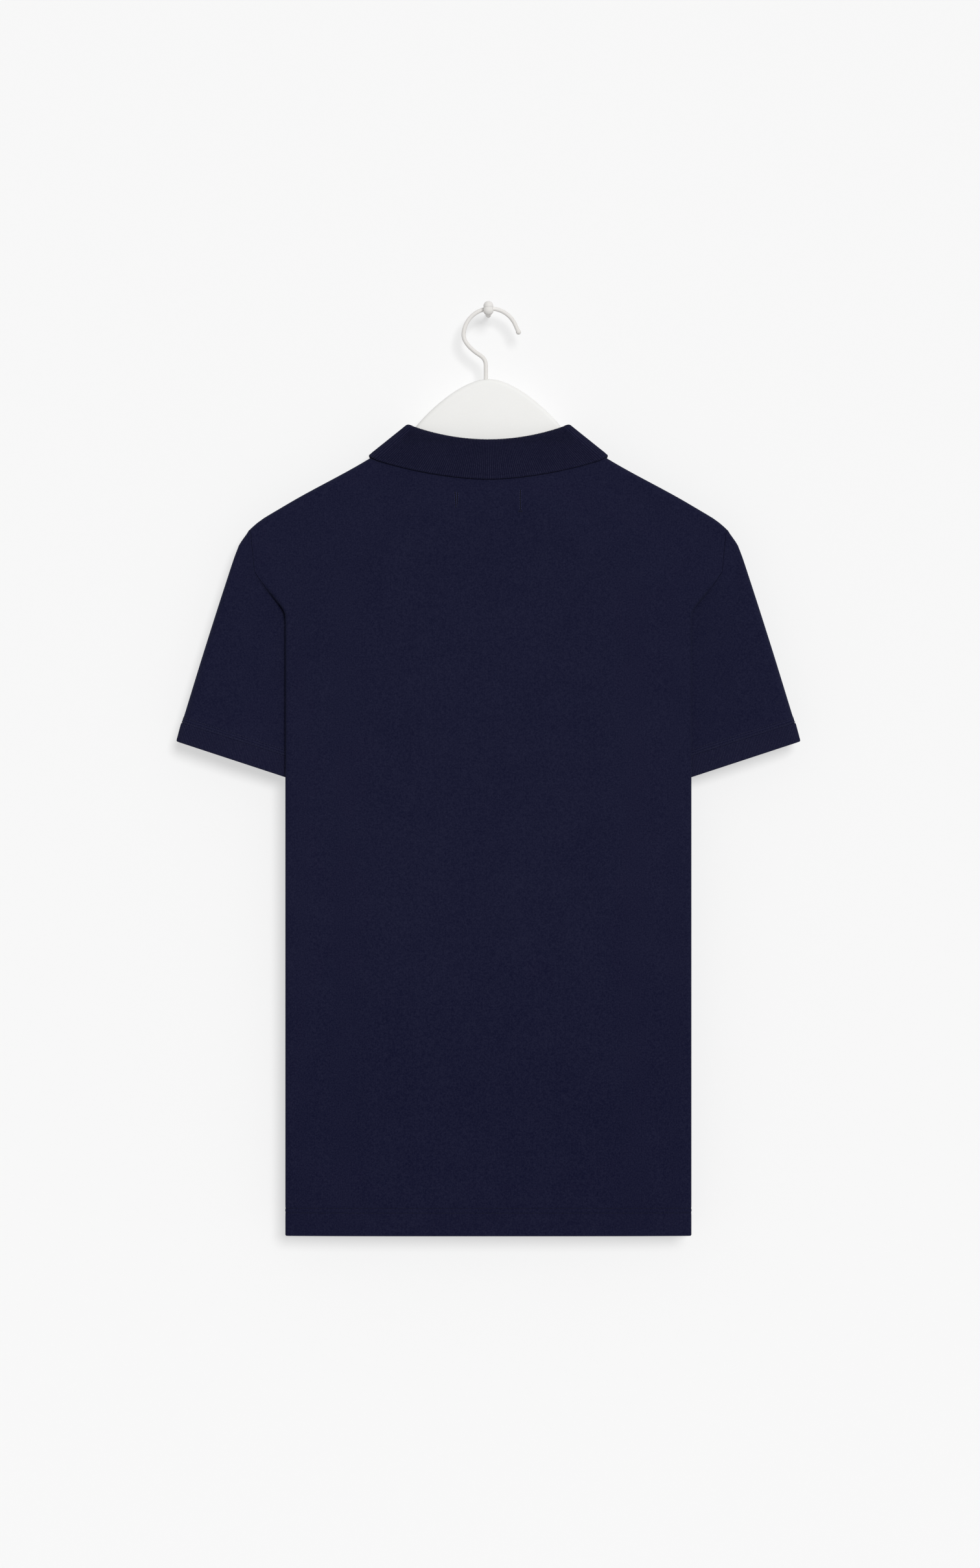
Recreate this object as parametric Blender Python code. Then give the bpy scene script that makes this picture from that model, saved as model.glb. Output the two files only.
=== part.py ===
"""A short-sleeved polo shirt hanging on a moulded plate hanger from a ball-ended wall peg.

X runs across the shirt, Z up, and the back of the shirt faces -Y.  The wall is the plane
y = 0 and the origin is the centre of the peg's flat back.  Every size is in millimetres from
a point on the shirt's centre line; build_mesh moves the origin to the peg and turns them into
metres.

Each cloth piece is a grid of points on the middle of its wall, worked out from the girth of
the garment at that height.  cloth_solid moves the points out and in along the surface's
normals, which gives a closed wall.
"""
import math
from collections import namedtuple

import bpy
import numpy as np

MM = 0.001

# Walls and gaps
CLOTH = 1.4                # body and sleeve fabric
RIB = 2.0                  # flat-knitted collar and cuffs
HEM_INSIDE = 1.7           # how far the turned hem reaches in from the middle of the wall
SEAM = 0.3                 # gap between two pieces sewn together

# Where the shirt hangs
MID_Y = -26.0              # the hanger's own plane, seen from the wall
PEG_Z = 4.6                # height of the peg's flat back, which is the origin

# Neck and shoulders
NECK_X, NECK_Z = 86.0, -118.4          # neck end of the shoulder seam
SHOULDER_X, SHOULDER_Z = 220.0, -197.7  # sleeve end of the shoulder seam
RIDGE_SOFT = 12.0          # rounds the meeting of the two shoulder slopes over the neck
SHOULDER_BULGE = 2.8       # how far the outer half of the shoulder stands over a straight line
BULGE_FROM_X, BULGE_WIDE, BULGE_END_X = 115.0, 70.0, 205.0
BACK_NECK_DROP = 26.4
FRONT_NECK_DROP = 86.6
RIDGE_RADIUS = 5.2         # middle of the cloth over the hanger's arm
FLARE = 80.0               # distance below the ridge where the body has its full depth
CENTRE_DEPTH, EDGE_DEPTH = 16.0, 13.0  # half depth of the body at its centre and its sides

# Sides: each is folded in, and the side seam lies inside the tuck
BODY_X = 186.8             # the folded side edge
SIDE_X = 115.0             # the side seam and the underarm
CREASE_TOP_Z, CREASE_END_Z = -237.8, -275.6
UNDERARM_Z = -331.4
HEM_Z = -850.5
HEM_DEPTH = 23.0
FOLD_RADIUS = 2.5
SLEEVE_TURN_RADIUS = 1.6
SLEEVE_WIDTH = 165.0       # half round the sleeve at its hem
SLEEVE_CLEAR = 5.0         # how far the sleeve's inner edge stands off the side seam

# Placket and buttons
SLIT_X = 14.0
SLIT_END_Z = -355.0
PLACKET_X = 16.0
BUTTON_RADIUS, BUTTON_THICK = 5.7, 2.4
BUTTON_Z = {"button_upper": -234.0, "button_lower": -296.0}

# Collar
COLLAR_FOLD_X = 74.4
COLLAR_BACK_FOLD_Z, COLLAR_SIDE_FOLD_Z, COLLAR_FRONT_FOLD_Z = -116.6, -101.8, -194.0
COLLAR_ROLL = 2.3          # radius of the fold, middle of the wall
COLLAR_LEAN = {-1: 3.5, 1: 4.5}  # how far the stand leans out, behind and in front
COLLAR_BACK_EDGE_Z = -152.6
COLLAR_EDGE_X = 109.3      # where the outer edge crosses the shoulder
COLLAR_END_X = 0.8
COLLAR_POINT_Z = -245.0
COLLAR_SHOULDER_LIFT = 0.45 # extra room where the fall bends over the shoulder
COLLAR_FRONT_LIFT = 1.6    # and where its leaves stand off the chest

# Hanger and peg
PLATE_HALF = 3.8           # half thickness, which is also the radius of its rounded rim
WIRE_RADIUS = 1.9
HOOK_CENTRE_X, HOOK_CENTRE_Z, HOOK_RADIUS = 2.0, -18.0, 25.0
STEM_X, STEM_END_Z = -2.3, -72.0
SOCKET_RADIUS, SOCKET_END_Z = 2.2, -72.3
TIP_RADIUS = 2.4
PEG_FOOT_RADIUS, PEG_FOOT_THICK = 2.6, 0.9
PEG_SHANK_RADIUS, PEG_SHANK_Z = 2.2, 2.6   # its height under the top of the hook's curve
PEG_END_Y = -32.8          # the upright end stands just in front of the hook
PEG_LOBE_RADIUS, PEG_LOBE_Z = 4.1, 3.6
PEG_BALL_RADIUS, PEG_BALL_Z = 4.6, 8.6

Edge = namedtuple("Edge", "z x")
BODY_EDGE = (              # where the face ends: armhole, crease, then the folded side
    Edge(SHOULDER_Z, SHOULDER_X),
    Edge(CREASE_TOP_Z, 215.7),
    Edge(CREASE_END_Z, BODY_X),
    Edge(HEM_Z, BODY_X),
)
SLEEVE_EDGE = (            # outer line of the sleeve from the shoulder to its hem
    Edge(-199.8, 223.8),
    Edge(-211.4, 231.6),
    Edge(-223.4, 235.8),
    Edge(-247.4, 243.1),
    Edge(-319.4, 265.5),
    Edge(-393.0, 288.0),
)
Corner = namedtuple("Corner", "x z")
CUFF_TOP_OUTER, CUFF_TOP_INNER = Corner(283.4, -377.0), Corner(131.0, -425.0)
CUFF_HEM_OUTER, CUFF_HEM_INNER = Corner(288.0, -394.2), Corner(133.0, -445.2)

EdgeStation = namedtuple("EdgeStation", "drop x")
COLLAR_FRONT_EDGE = (      # outer edge in front by share of the neck's drop, shoulder to point
    EdgeStation(0.0, COLLAR_EDGE_X),
    EdgeStation(0.34, 99.0),
    EdgeStation(0.7, 79.0),
    EdgeStation(1.0, 58.0),
)
HANGER_TOP = (             # half outline, from the arch over the neck to the arm's end
    Corner(0.0, -58.1), Corner(9.0, -59.3), Corner(19.0, -63.0), Corner(31.0, -69.6),
    Corner(42.0, -77.6), Corner(52.0, -86.2), Corner(60.0, -94.2), Corner(67.0, -102.2),
    Corner(74.0, -112.5), Corner(82.0, -122.5), Corner(92.0, -129.0),
    Corner(106.0, -134.0), Corner(120.0, -139.9), Corner(140.0, -150.8), Corner(160.0, -161.7),
    Corner(180.0, -173.3), Corner(203.0, -187.7),
)
HANGER_BOTTOM = (
    Corner(211.5, -194.8), Corner(215.5, -200.0), Corner(216.0, -206.0), Corner(212.5, -211.0),
    Corner(206.0, -212.6), Corner(198.0, -209.6), Corner(150.0, -184.5), Corner(105.0, -163.0),
    Corner(60.0, -153.0), Corner(25.0, -149.5), Corner(0.0, -149.0),
)
PathPoint = namedtuple("PathPoint", "x z")
HOOK_LEAD = (              # the stem and its bend, up to where the round part starts
    PathPoint(STEM_X, STEM_END_Z), PathPoint(STEM_X, -65.0), PathPoint(STEM_X, -58.0),
    PathPoint(STEM_X, -50.0), PathPoint(-2.4, -44.6), PathPoint(-3.2, -41.4),
    PathPoint(-4.9, -38.6), PathPoint(-7.8, -36.2), PathPoint(-11.6, -33.6),
    PathPoint(-15.2, -30.6), PathPoint(-18.2, -27.6), PathPoint(-20.5, -24.6),
)
HOOK_END = PathPoint(26.9, -12.5)   # the last of the wire, before its ball

Finish = namedtuple("Finish", "colour roughness metallic")
FINISHES = {
    "jersey": Finish((0.0110, 0.0118, 0.0307), 0.85, 0.0),
    "rib": Finish((0.0098, 0.0102, 0.0250), 0.85, 0.0),
    "button": Finish((0.012, 0.013, 0.030), 0.35, 0.0),
    "plastic": Finish((0.84, 0.84, 0.83), 0.35, 0.0),
    "enamel": Finish((0.82, 0.82, 0.81), 0.30, 0.0),
}

# Rows of a body panel above the underarm, as shares of the way down, and heights below it
YOKE_ROWS = (0.0, 0.008, 0.035, 0.09, 0.18, 0.29, 0.35, 0.41, 0.47, 0.53, 0.58, 0.67, 0.77,
             0.87, 0.94, 0.98, 1.0)
BODY_ROWS = (SLIT_END_Z, -405.0, -475.0, -545.0, -615.0, -685.0, -755.0,
             HEM_Z + HEM_DEPTH + 0.9, HEM_Z + HEM_DEPTH - 0.9, HEM_Z)
NECK_CELLS, SHOULDER_CELLS, FOLD_CELLS = 8, 3, 4
NECK_COLUMNS = (33.0, 50.0, 65.0, 76.5, 83.9, 85.4)   # the last two lie on the ridge's curve
TUCK_COLUMNS = (0.42, 0.82, 0.88, 0.94, 1.0)   # shares of the tuck; its end is round
LEAST_FOLD, LEAST_TUCK = 3.0, 4.0     # girth kept for those columns where nothing is folded

SLOPE = (SHOULDER_Z - NECK_Z) / (SHOULDER_X - NECK_X)
SLOPE_COS = 1.0 / math.hypot(1.0, SLOPE)


# ---------------------------------------------------------------- meshes and materials

def clear_scene():
    """Remove every object of the open scene."""
    for item in list(bpy.data.objects):
        bpy.data.objects.remove(item, do_unlink=True)


def finish_material(name):
    """Return the Principled material of a finish, made on first use."""
    material = bpy.data.materials.get(name)
    if material is None:
        finish = FINISHES[name]
        material = bpy.data.materials.new(name)
        material.use_nodes = True
        shader = material.node_tree.nodes["Principled BSDF"]
        shader.inputs["Base Color"].default_value = (*finish.colour, 1.0)
        shader.inputs["Roughness"].default_value = finish.roughness
        shader.inputs["Metallic"].default_value = finish.metallic
    return material


def build_mesh(name, points, faces, finish):
    """Make one object from points in millimetres and faces, shaded smooth but for sharp rims.

    The origin moves to the middle of the peg's flat back.
    """
    mesh = bpy.data.meshes.new(name)
    mesh.from_pydata([(x * MM, y * MM, (z - PEG_Z) * MM) for x, y, z in points],
                     [], faces)
    mesh.materials.append(finish_material(finish))
    mesh.validate()
    mesh.shade_smooth()
    mesh.set_sharp_from_angle(angle=math.radians(50))
    item = bpy.data.objects.new(name, mesh)
    bpy.context.collection.objects.link(item)
    return item


def unit(vectors):
    """Scale vectors in the last axis to length one."""
    length = np.linalg.norm(vectors, axis=-1, keepdims=True)
    return vectors / np.maximum(length, 1e-9)


def cloth_solid(name, grid, normals, out, inward, finish, keep=None, closed=False):
    """Close a wall round a grid of points: outer and inner skins, joined round every border.

    out and inward are the distances from the grid to the two skins, one number or one a row.
    keep marks the cells that exist; closed joins the last column to the first.
    """
    rows, cols = grid.shape[:2]
    out = np.broadcast_to(np.asarray(out, float), (rows,))[:, None, None]
    inward = np.broadcast_to(np.asarray(inward, float), (rows,))[:, None, None]
    skins = np.concatenate([(grid + normals * out).reshape(-1, 3),
                            (grid - normals * inward).reshape(-1, 3)])
    half = rows * cols
    cell_cols = cols if closed else cols - 1
    if keep is None:
        keep = np.ones((rows - 1, cell_cols), bool)
    faces, border = [], {}
    for i in range(rows - 1):
        for j in range(cell_cols):
            if not keep[i, j]:
                continue
            k = (j + 1) % cols
            ring = (i * cols + j, (i + 1) * cols + j, (i + 1) * cols + k, i * cols + k)
            faces.append(ring)
            faces.append(tuple(half + p for p in reversed(ring)))
            for a, b in zip(ring, ring[1:] + ring[:1]):
                if (b, a) in border:
                    del border[(b, a)]
                else:
                    border[(a, b)] = True
    for a, b in border:
        faces.append((b, a, a + half, b + half))
    used = sorted({p for face in faces for p in face})
    index = {p: n for n, p in enumerate(used)}
    faces = [tuple(index[p] for p in face) for face in faces]
    return build_mesh(name, skins[used], faces, finish)


def grid_normals(grid, before_row, after_row, before_col=None, after_col=None):
    """Normals of a grid by central differences, with one row or column of points past each
    border.  Without border columns the grid is a closed ring."""
    tall = np.concatenate([before_row[None], grid, after_row[None]])
    if before_col is None:
        across = np.roll(grid, -1, axis=1) - np.roll(grid, 1, axis=1)
    else:
        wide = np.concatenate([before_col[:, None], grid, after_col[:, None]], axis=1)
        across = wide[:, 2:] - wide[:, :-2]
    down = tall[2:] - tall[:-2]
    return unit(np.cross(down, across))


def sweep(name, path, radii, sides, finish, first_normal=None):
    """A round bar along a path, with one radius at each point and flat ends."""
    path = np.asarray(path, float)
    tangents = unit(np.gradient(path, axis=0))
    if first_normal is not None:
        tangents[0] = first_normal
    points = []
    side = np.array([1.0, 0.0, 0.0])
    if abs(tangents[0] @ side) > 0.9:
        side = np.array([0.0, 1.0, 0.0])
    for centre, tangent, radius in zip(path, tangents, radii):
        side = side - tangent * (side @ tangent)
        side = side / np.linalg.norm(side)
        other = np.cross(tangent, side)
        for n in range(sides):
            angle = 2 * math.pi * n / sides
            points.append(centre + radius * (side * math.cos(angle) + other * math.sin(angle)))
    faces = [tuple(reversed(range(sides)))]
    for ring in range(len(path) - 1):
        for n in range(sides):
            m = (n + 1) % sides
            faces.append((ring * sides + n, ring * sides + m,
                          (ring + 1) * sides + m, (ring + 1) * sides + n))
    last = (len(path) - 1) * sides
    faces.append(tuple(last + n for n in range(sides)))
    return build_mesh(name, points, faces, finish)


# ---------------------------------------------------------------- the garment's own surface

def smooth(t):
    """Ease from 0 to 1 with level ends."""
    t = np.clip(t, 0.0, 1.0)
    return t * t * (3.0 - 2.0 * t)


def ridge_height(x):
    """Height of the shoulder line, carried on over the neck with a rounded top.  Its outer half
    bulges up a little, and rounds down to the sleeve."""
    soft = np.sqrt(np.square(x) + RIDGE_SOFT ** 2) - RIDGE_SOFT
    blend = smooth((np.abs(x) - NECK_X * 0.5) / (NECK_X * 0.5))
    ending = np.clip((np.abs(x) - BULGE_END_X) / (SHOULDER_X - BULGE_END_X), 0.0, 1.0)
    bulge = SHOULDER_BULGE * smooth((np.abs(x) - BULGE_FROM_X) / BULGE_WIDE) * (1 - ending ** 2)
    return NECK_Z + SLOPE * (soft * (1 - blend) + np.abs(x) * blend - NECK_X) + bulge


def shell_depth(x, z):
    """Half depth of the body's cloth at a place seen from the front: a round ridge over the
    hanger's arm, then a slow flare to the full depth."""
    below = np.maximum((ridge_height(x) - z) * SLOPE_COS, 0.0)
    round_part = np.sqrt(np.clip(below * (2 * RIDGE_RADIUS - below), 0.0, RIDGE_RADIUS ** 2))
    share = np.minimum(np.abs(x) / BODY_X, 1.0)
    full = CENTRE_DEPTH - (CENTRE_DEPTH - EDGE_DEPTH) * share ** 4
    flare = RIDGE_RADIUS + (full - RIDGE_RADIUS) * smooth((below - RIDGE_RADIUS) / FLARE)
    return np.where(below < RIDGE_RADIUS, round_part, flare)


def shell_normal(x, z, side):
    """Outward normal of the body's cloth at (x, z) on the back (-1) or the front (+1)."""
    below = (ridge_height(x) - z) * SLOPE_COS
    if below < RIDGE_RADIUS:
        lift = 1.0 - max(below, 0.0) / RIDGE_RADIUS
        spread = math.sqrt(max(1.0 - lift * lift, 0.0))
        tilt = -SLOPE * SLOPE_COS * (1.0 if x >= 0 else -1.0)
        return np.array([tilt * lift, side * spread, SLOPE_COS * lift])
    step = 1.0
    across = (shell_depth(x + step, z) - shell_depth(x - step, z)) / (2 * step)
    up = (shell_depth(x, z + step) - shell_depth(x, z - step)) / (2 * step)
    return unit(np.array([-across, side, -up]))


def neck_height(x, side):
    """Height of the neck seam: a shallow curve behind, a deep one in front."""
    share = np.minimum(np.abs(x) / NECK_X, 1.0)
    if side < 0:
        return NECK_Z - BACK_NECK_DROP * (1.0 - share ** 2.2)
    return NECK_Z - FRONT_NECK_DROP * (1.0 - share ** 3)


def edge_x(z):
    """Where the face of the body ends at a height."""
    heights = [edge.z for edge in reversed(BODY_EDGE)]
    return float(np.interp(z, heights, [edge.x for edge in reversed(BODY_EDGE)]))


Row = namedtuple("Row", "face turn tuck columns")


def row_of(z):
    """Girth of half a row at the height of its edge: face, turn angle, tuck, and columns."""
    turned = (CREASE_TOP_Z - z) / (CREASE_TOP_Z - CREASE_END_Z)
    turn = math.pi * min(max(turned, 0.0), 1.0)
    drop = np.clip((CREASE_END_Z - z) / (CREASE_END_Z - UNDERARM_Z), 0.0, 1.0)
    deep = EDGE_DEPTH - 2 * FOLD_RADIUS
    whole = BODY_X - FOLD_RADIUS - SIDE_X - deep + deep * math.pi / 2
    tuck = whole * float(drop) ** 1.5
    face = edge_x(z) - FOLD_RADIUS * math.sin(min(turn, math.pi / 2))
    total = face + FOLD_RADIUS * turn + tuck
    fold_part = max(FOLD_RADIUS * turn, LEAST_FOLD)
    tuck_part = max(tuck, LEAST_TUCK)
    flat = total - fold_part - tuck_part
    neck = [*NECK_COLUMNS, NECK_X]
    top_flat = SHOULDER_X - LEAST_FOLD - LEAST_TUCK
    shoulder = [NECK_X + (top_flat - NECK_X) * n / SHOULDER_CELLS
                for n in range(1, SHOULDER_CELLS + 1)]
    columns = [0.0, SLIT_X] + [x * flat / top_flat for x in neck + shoulder]
    columns += [flat + fold_part * n / FOLD_CELLS for n in range(1, FOLD_CELLS + 1)]
    columns += [flat + fold_part + tuck_part * share for share in TUCK_COLUMNS]
    return Row(face, turn, tuck, columns)


def girth_point(along, z, row):
    """Place (x, half depth) of a point by its distance along the row from the centre."""
    start = float(shell_depth(min(along, row.face), z))
    if along <= row.face:
        return along, start
    angle = (along - row.face) / FOLD_RADIUS
    if angle <= row.turn or row.tuck == 0.0:
        return (row.face + FOLD_RADIUS * math.sin(angle),
                start - FOLD_RADIUS * (1.0 - math.cos(angle)))
    deep = start - 2 * FOLD_RADIUS
    inward = along - row.face - FOLD_RADIUS * row.turn
    straight = row.face - SIDE_X - deep
    if inward <= straight:
        return row.face - inward, deep
    angle = (inward - straight) / deep
    return SIDE_X + deep - deep * math.sin(angle), deep * math.cos(angle)


def panel_grid(side):
    """Middle of a body panel's wall, rows from the neck and shoulders down to the hem and
    columns from the side seam at -X to the one at +X.  side is -1 for the back, 1 in front."""
    top = np.array(row_of(SHOULDER_Z).columns)
    top_z = np.where(top < NECK_X - 1e-6, neck_height(top, side), ridge_height(top))
    rows = []
    for share in YOKE_ROWS:
        heights = top_z + share * (UNDERARM_Z - top_z)
        rows.append((heights, row_of(SHOULDER_Z + share * (UNDERARM_Z - SHOULDER_Z))))
    rows += [(np.full(len(top), z), row_of(z)) for z in BODY_ROWS]
    grid = []
    for heights, row in rows:
        half = [(*girth_point(s, z, row), z) for s, z in zip(row.columns, heights)]
        half = [(x, MID_Y + side * max(depth, SEAM / 2), z) for x, depth, z in half]
        grid.append([(-x, y, z) for x, y, z in reversed(half[1:])] + half)
    return np.array(grid)


def mirrored_in_depth(points):
    """The same points on the other side of the hanger's plane."""
    return np.stack([points[..., 0], 2 * MID_Y - points[..., 1], points[..., 2]], axis=-1)


def panel_normals(grid, side):
    """Outward normals of a panel; the shoulder and side seams carry on into the other panel."""
    before_row = 2 * grid[0] - grid[1]
    on_ridge = np.abs(grid[0, :, 0]) >= NECK_X - 1e-6
    before_row[on_ridge] = mirrored_in_depth(grid[1])[on_ridge]
    after_row = 2 * grid[-1] - grid[-2]
    before_col = 2 * grid[:, 0] - grid[:, 1]
    after_col = 2 * grid[:, -1] - grid[:, -2]
    seam = np.arange(len(grid)) >= len(YOKE_ROWS) - 1
    before_col[seam] = mirrored_in_depth(grid[:, 1])[seam]
    after_col[seam] = mirrored_in_depth(grid[:, -2])[seam]
    return grid_normals(grid, before_row, after_row, before_col, after_col) * -side


def body_panel(name, side):
    """One body panel with its turned hem; the front one has the placket slit."""
    grid = panel_grid(side)
    normals = panel_normals(grid, side)
    inward = np.full(len(grid), CLOTH / 2)
    inward[-2:] = HEM_INSIDE
    keep = np.ones((len(grid) - 1, grid.shape[1] - 1), bool)
    if side > 0:
        centre = grid.shape[1] // 2
        keep[:len(YOKE_ROWS), centre - 1:centre + 1] = False
    shown = grid if side < 0 else grid[:, ::-1]
    facing = normals if side < 0 else normals[:, ::-1]
    kept = keep if side < 0 else keep[:, ::-1]
    cloth_solid(name, shown, facing, CLOTH / 2, inward, "jersey", kept)
    return grid, normals


# ---------------------------------------------------------------- sleeves and cuffs

def armhole_loop(back, front):
    """Seam points, outward normals and directions away from the body, once round the right
    armhole: down the back from the shoulder to the underarm, then up the front."""
    rows = len(YOKE_ROWS)
    sides = []
    for grid, normals in (back, front):
        points, outward = grid[:rows, -1], normals[:rows, -1]
        along = unit(np.gradient(points, axis=0))
        away = unit(np.cross(outward, along))
        away *= np.sign(np.sum(away * (points - grid[:rows, -2]), axis=1))[:, None]
        sides.append(np.stack([points, outward, away]))
    ends = (sides[0] + sides[1]) / 2
    ends[1:, :, 1] = 0.0
    ends[2, -1] = (0.0, 0.0, 2.0)
    ends[1, -1] = (1.0, 0.0, 0.0)
    back_part, front_part = sides[0][:, 1:-1], sides[1][:, 1:-1][:, ::-1]
    loop = np.concatenate([ends[:, :1], back_part, ends[:, -1:], front_part], axis=1)
    return loop[0], unit(loop[1]), loop[2]


def loop_turns():
    """Turn of the body's edge at each point of the armhole loop."""
    turns = [row_of(SHOULDER_Z + f * (UNDERARM_Z - SHOULDER_Z)).turn for f in YOKE_ROWS]
    return np.array(turns + turns[-2:0:-1])


def sleeve_half_depth(x, from_edge):
    """Half depth of a sleeve: flat inside the tuck, fuller outside it, round at its edges."""
    full = 5.3 + 2.6 * smooth((x - BODY_X - 4.0) / 50.0)
    near = np.clip(from_edge, 0.0, full)
    return np.sqrt(np.maximum(full ** 2 - (full - near) ** 2, 0.0))


def sleeve_grids(back, front):
    """Middle of the right sleeve's wall and of its cuff's, rows from armhole to hem."""
    seam, outward, away = armhole_loop(back, front)
    turns = loop_turns()
    count = len(seam)
    rows_down = len(YOKE_ROWS) - 1
    behind = np.where(np.arange(count) <= rows_down, -1.0, 1.0)
    start = seam + away * (SEAM * (1.0 + 1.4 * np.minimum(turns, 1.0)))[:, None]
    grid = []
    for step in range(5):
        angle = (turns * step / 4)[:, None]
        spread = (0.5 * step * (1.0 - turns / math.pi))[:, None]
        grid.append(start + away * spread + SLEEVE_TURN_RADIUS
                    * (away * np.sin(angle) + outward * (1.0 - np.cos(angle))))
    first = grid[-1]
    flat = first[:rows_down + 1, [0, 2]]
    steps = np.linalg.norm(np.diff(flat, axis=0), axis=1)
    along = np.concatenate([[0.0], np.cumsum(steps)]) / steps.sum()
    share = np.concatenate([along, along[-2:0:-1]])
    heights = [edge.z for edge in reversed(SLEEVE_EDGE)]
    widths = [edge.x for edge in reversed(SLEEVE_EDGE)]

    def line(outer, inner):
        return np.stack([outer.x + (inner.x - outer.x) * share,
                         outer.z + (inner.z - outer.z) * share], axis=1)

    cuff_line = line(CUFF_TOP_OUTER, CUFF_TOP_INNER)
    hem_line = line(CUFF_HEM_OUTER, CUFF_HEM_INNER)
    top_outer, top_inner = first[0], first[rows_down]
    low_outer, low_inner = cuff_line[0], cuff_line[rows_down]
    opening = np.stack([first[:, 0], first[:, 2]], axis=1)
    first_depth = np.abs(first[:, 1] - MID_Y)

    def placed(place, depth):
        return np.stack([place[:, 0], MID_Y + behind * depth, place[:, 1]], axis=1)

    def depth_at(place):
        from_edge = SLEEVE_WIDTH * np.minimum(share, 0.4 * (1.0 - share))
        return sleeve_half_depth(place[:, 0], from_edge)

    for down in (0.05, 0.1, 0.17, 0.26, 0.38, 0.55, 0.75, 1.0):
        outer_z = top_outer[2] + (low_outer[1] - top_outer[2]) * down
        shift = (top_outer[0] - np.interp(top_outer[2], heights, widths)) * (1.0 - down) ** 4
        outer = np.array([np.interp(outer_z, heights, widths) + shift, outer_z])
        inner = np.array([top_inner[0], top_inner[2]]) * (1 - down) + low_inner * down
        inner[0] += SLEEVE_CLEAR * float(smooth(down / 0.17)) * (1.0 - down)
        corner = ((np.array([top_outer[0], top_outer[2]]) * (1 - down) + low_outer * down)
                  * (1 - share)[:, None]
                  + (np.array([top_inner[0], top_inner[2]]) * (1 - down) + low_inner * down)
                  * share[:, None])
        place = (opening * (1 - down) + cuff_line * down + outer * (1 - share)[:, None]
                 + inner * share[:, None] - corner)
        settled = smooth(down / 0.26)
        depth = first_depth * (1 - settled) + depth_at(place) * settled
        grid.append(placed(place, depth))
    gap = unit(hem_line - cuff_line) * SEAM / 2
    grid[-1] = placed(cuff_line - gap, depth_at(cuff_line))
    cuff = [placed(place, depth_at(place)) for place in
            (cuff_line + gap, (cuff_line + hem_line) / 2, hem_line)]
    return np.array(grid)[:, ::-1], np.array(cuff)[:, ::-1], outward[::-1]


def ring_normals(grid, first_normals=None):
    """Outward normals of a tube whose columns run round it."""
    normals = grid_normals(grid, 2 * grid[0] - grid[1], 2 * grid[-1] - grid[-2])
    if first_normals is not None:
        normals[0] = first_normals
    return normals


def sleeves_and_cuffs(back, front):
    """Both sleeves with their rib cuffs; the left ones are the right ones mirrored."""
    sleeve, cuff, armhole_normals = sleeve_grids(back, front)
    sleeve_out = ring_normals(sleeve, armhole_normals)
    cuff_out = ring_normals(cuff)
    flip = np.array([-1.0, 1.0, 1.0])
    for side, mirror in (("right", False), ("left", True)):
        for name, grid, normals, wall, finish in (
                ("sleeve_", sleeve, sleeve_out, CLOTH, "jersey"),
                ("cuff_", cuff, cuff_out, RIB, "rib")):
            if mirror:
                grid, normals = grid[:, ::-1] * flip, normals[:, ::-1] * flip
            cloth_solid(name + side, grid, normals, wall / 2, wall / 2, finish, closed=True)


# ---------------------------------------------------------------- collar

def collar_edge(seam, side):
    """Outer edge of the collar over a point of the neck seam, on the shirt, as (x, z)."""
    shoulder = float(ridge_height(COLLAR_EDGE_X))
    if side < 0:
        share = min(seam[0] / NECK_X, 1.0)
        rise = shoulder - COLLAR_BACK_EDGE_Z
        return COLLAR_EDGE_X * share, COLLAR_BACK_EDGE_Z + rise * share ** 1.8
    drop = NECK_Z - seam[2]
    share = min(drop / FRONT_NECK_DROP, 1.0)
    further = shoulder - COLLAR_POINT_Z - FRONT_NECK_DROP
    x = float(np.interp(share, [s.drop for s in COLLAR_FRONT_EDGE],
                        [s.x for s in COLLAR_FRONT_EDGE]))
    return x, shoulder - drop - further * share ** 1.5


def neck_stations(grid, side):
    """Neck seam points of one half panel, from its centre to the shoulder."""
    centre = grid.shape[1] // 2
    points = grid[0, centre:centre + NECK_CELLS + 1].copy()
    if side > 0:
        points[0, 0] = COLLAR_END_X
    return points


def fold_point(seam, side):
    """Top of the collar's fold above a point of the neck seam."""
    share = min(seam[0] / NECK_X, 1.0)
    depth = abs(seam[1] - MID_Y) + COLLAR_LEAN[side] * max(1.0 - share ** 4, 0.0) ** 0.25
    if share > 1.0 - 1e-6:
        depth = 0.0
    if side < 0:
        rise = COLLAR_SIDE_FOLD_Z - COLLAR_BACK_FOLD_Z
        height = COLLAR_BACK_FOLD_Z + rise * share ** 2
    else:
        drop = COLLAR_SIDE_FOLD_Z - COLLAR_FRONT_FOLD_Z
        height = COLLAR_SIDE_FOLD_Z - drop * (1.0 - share ** 3)
    across = max(COLLAR_FOLD_X * share, COLLAR_END_X if side > 0 else 0.0)
    return np.array([across, MID_Y + side * depth, height])


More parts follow.
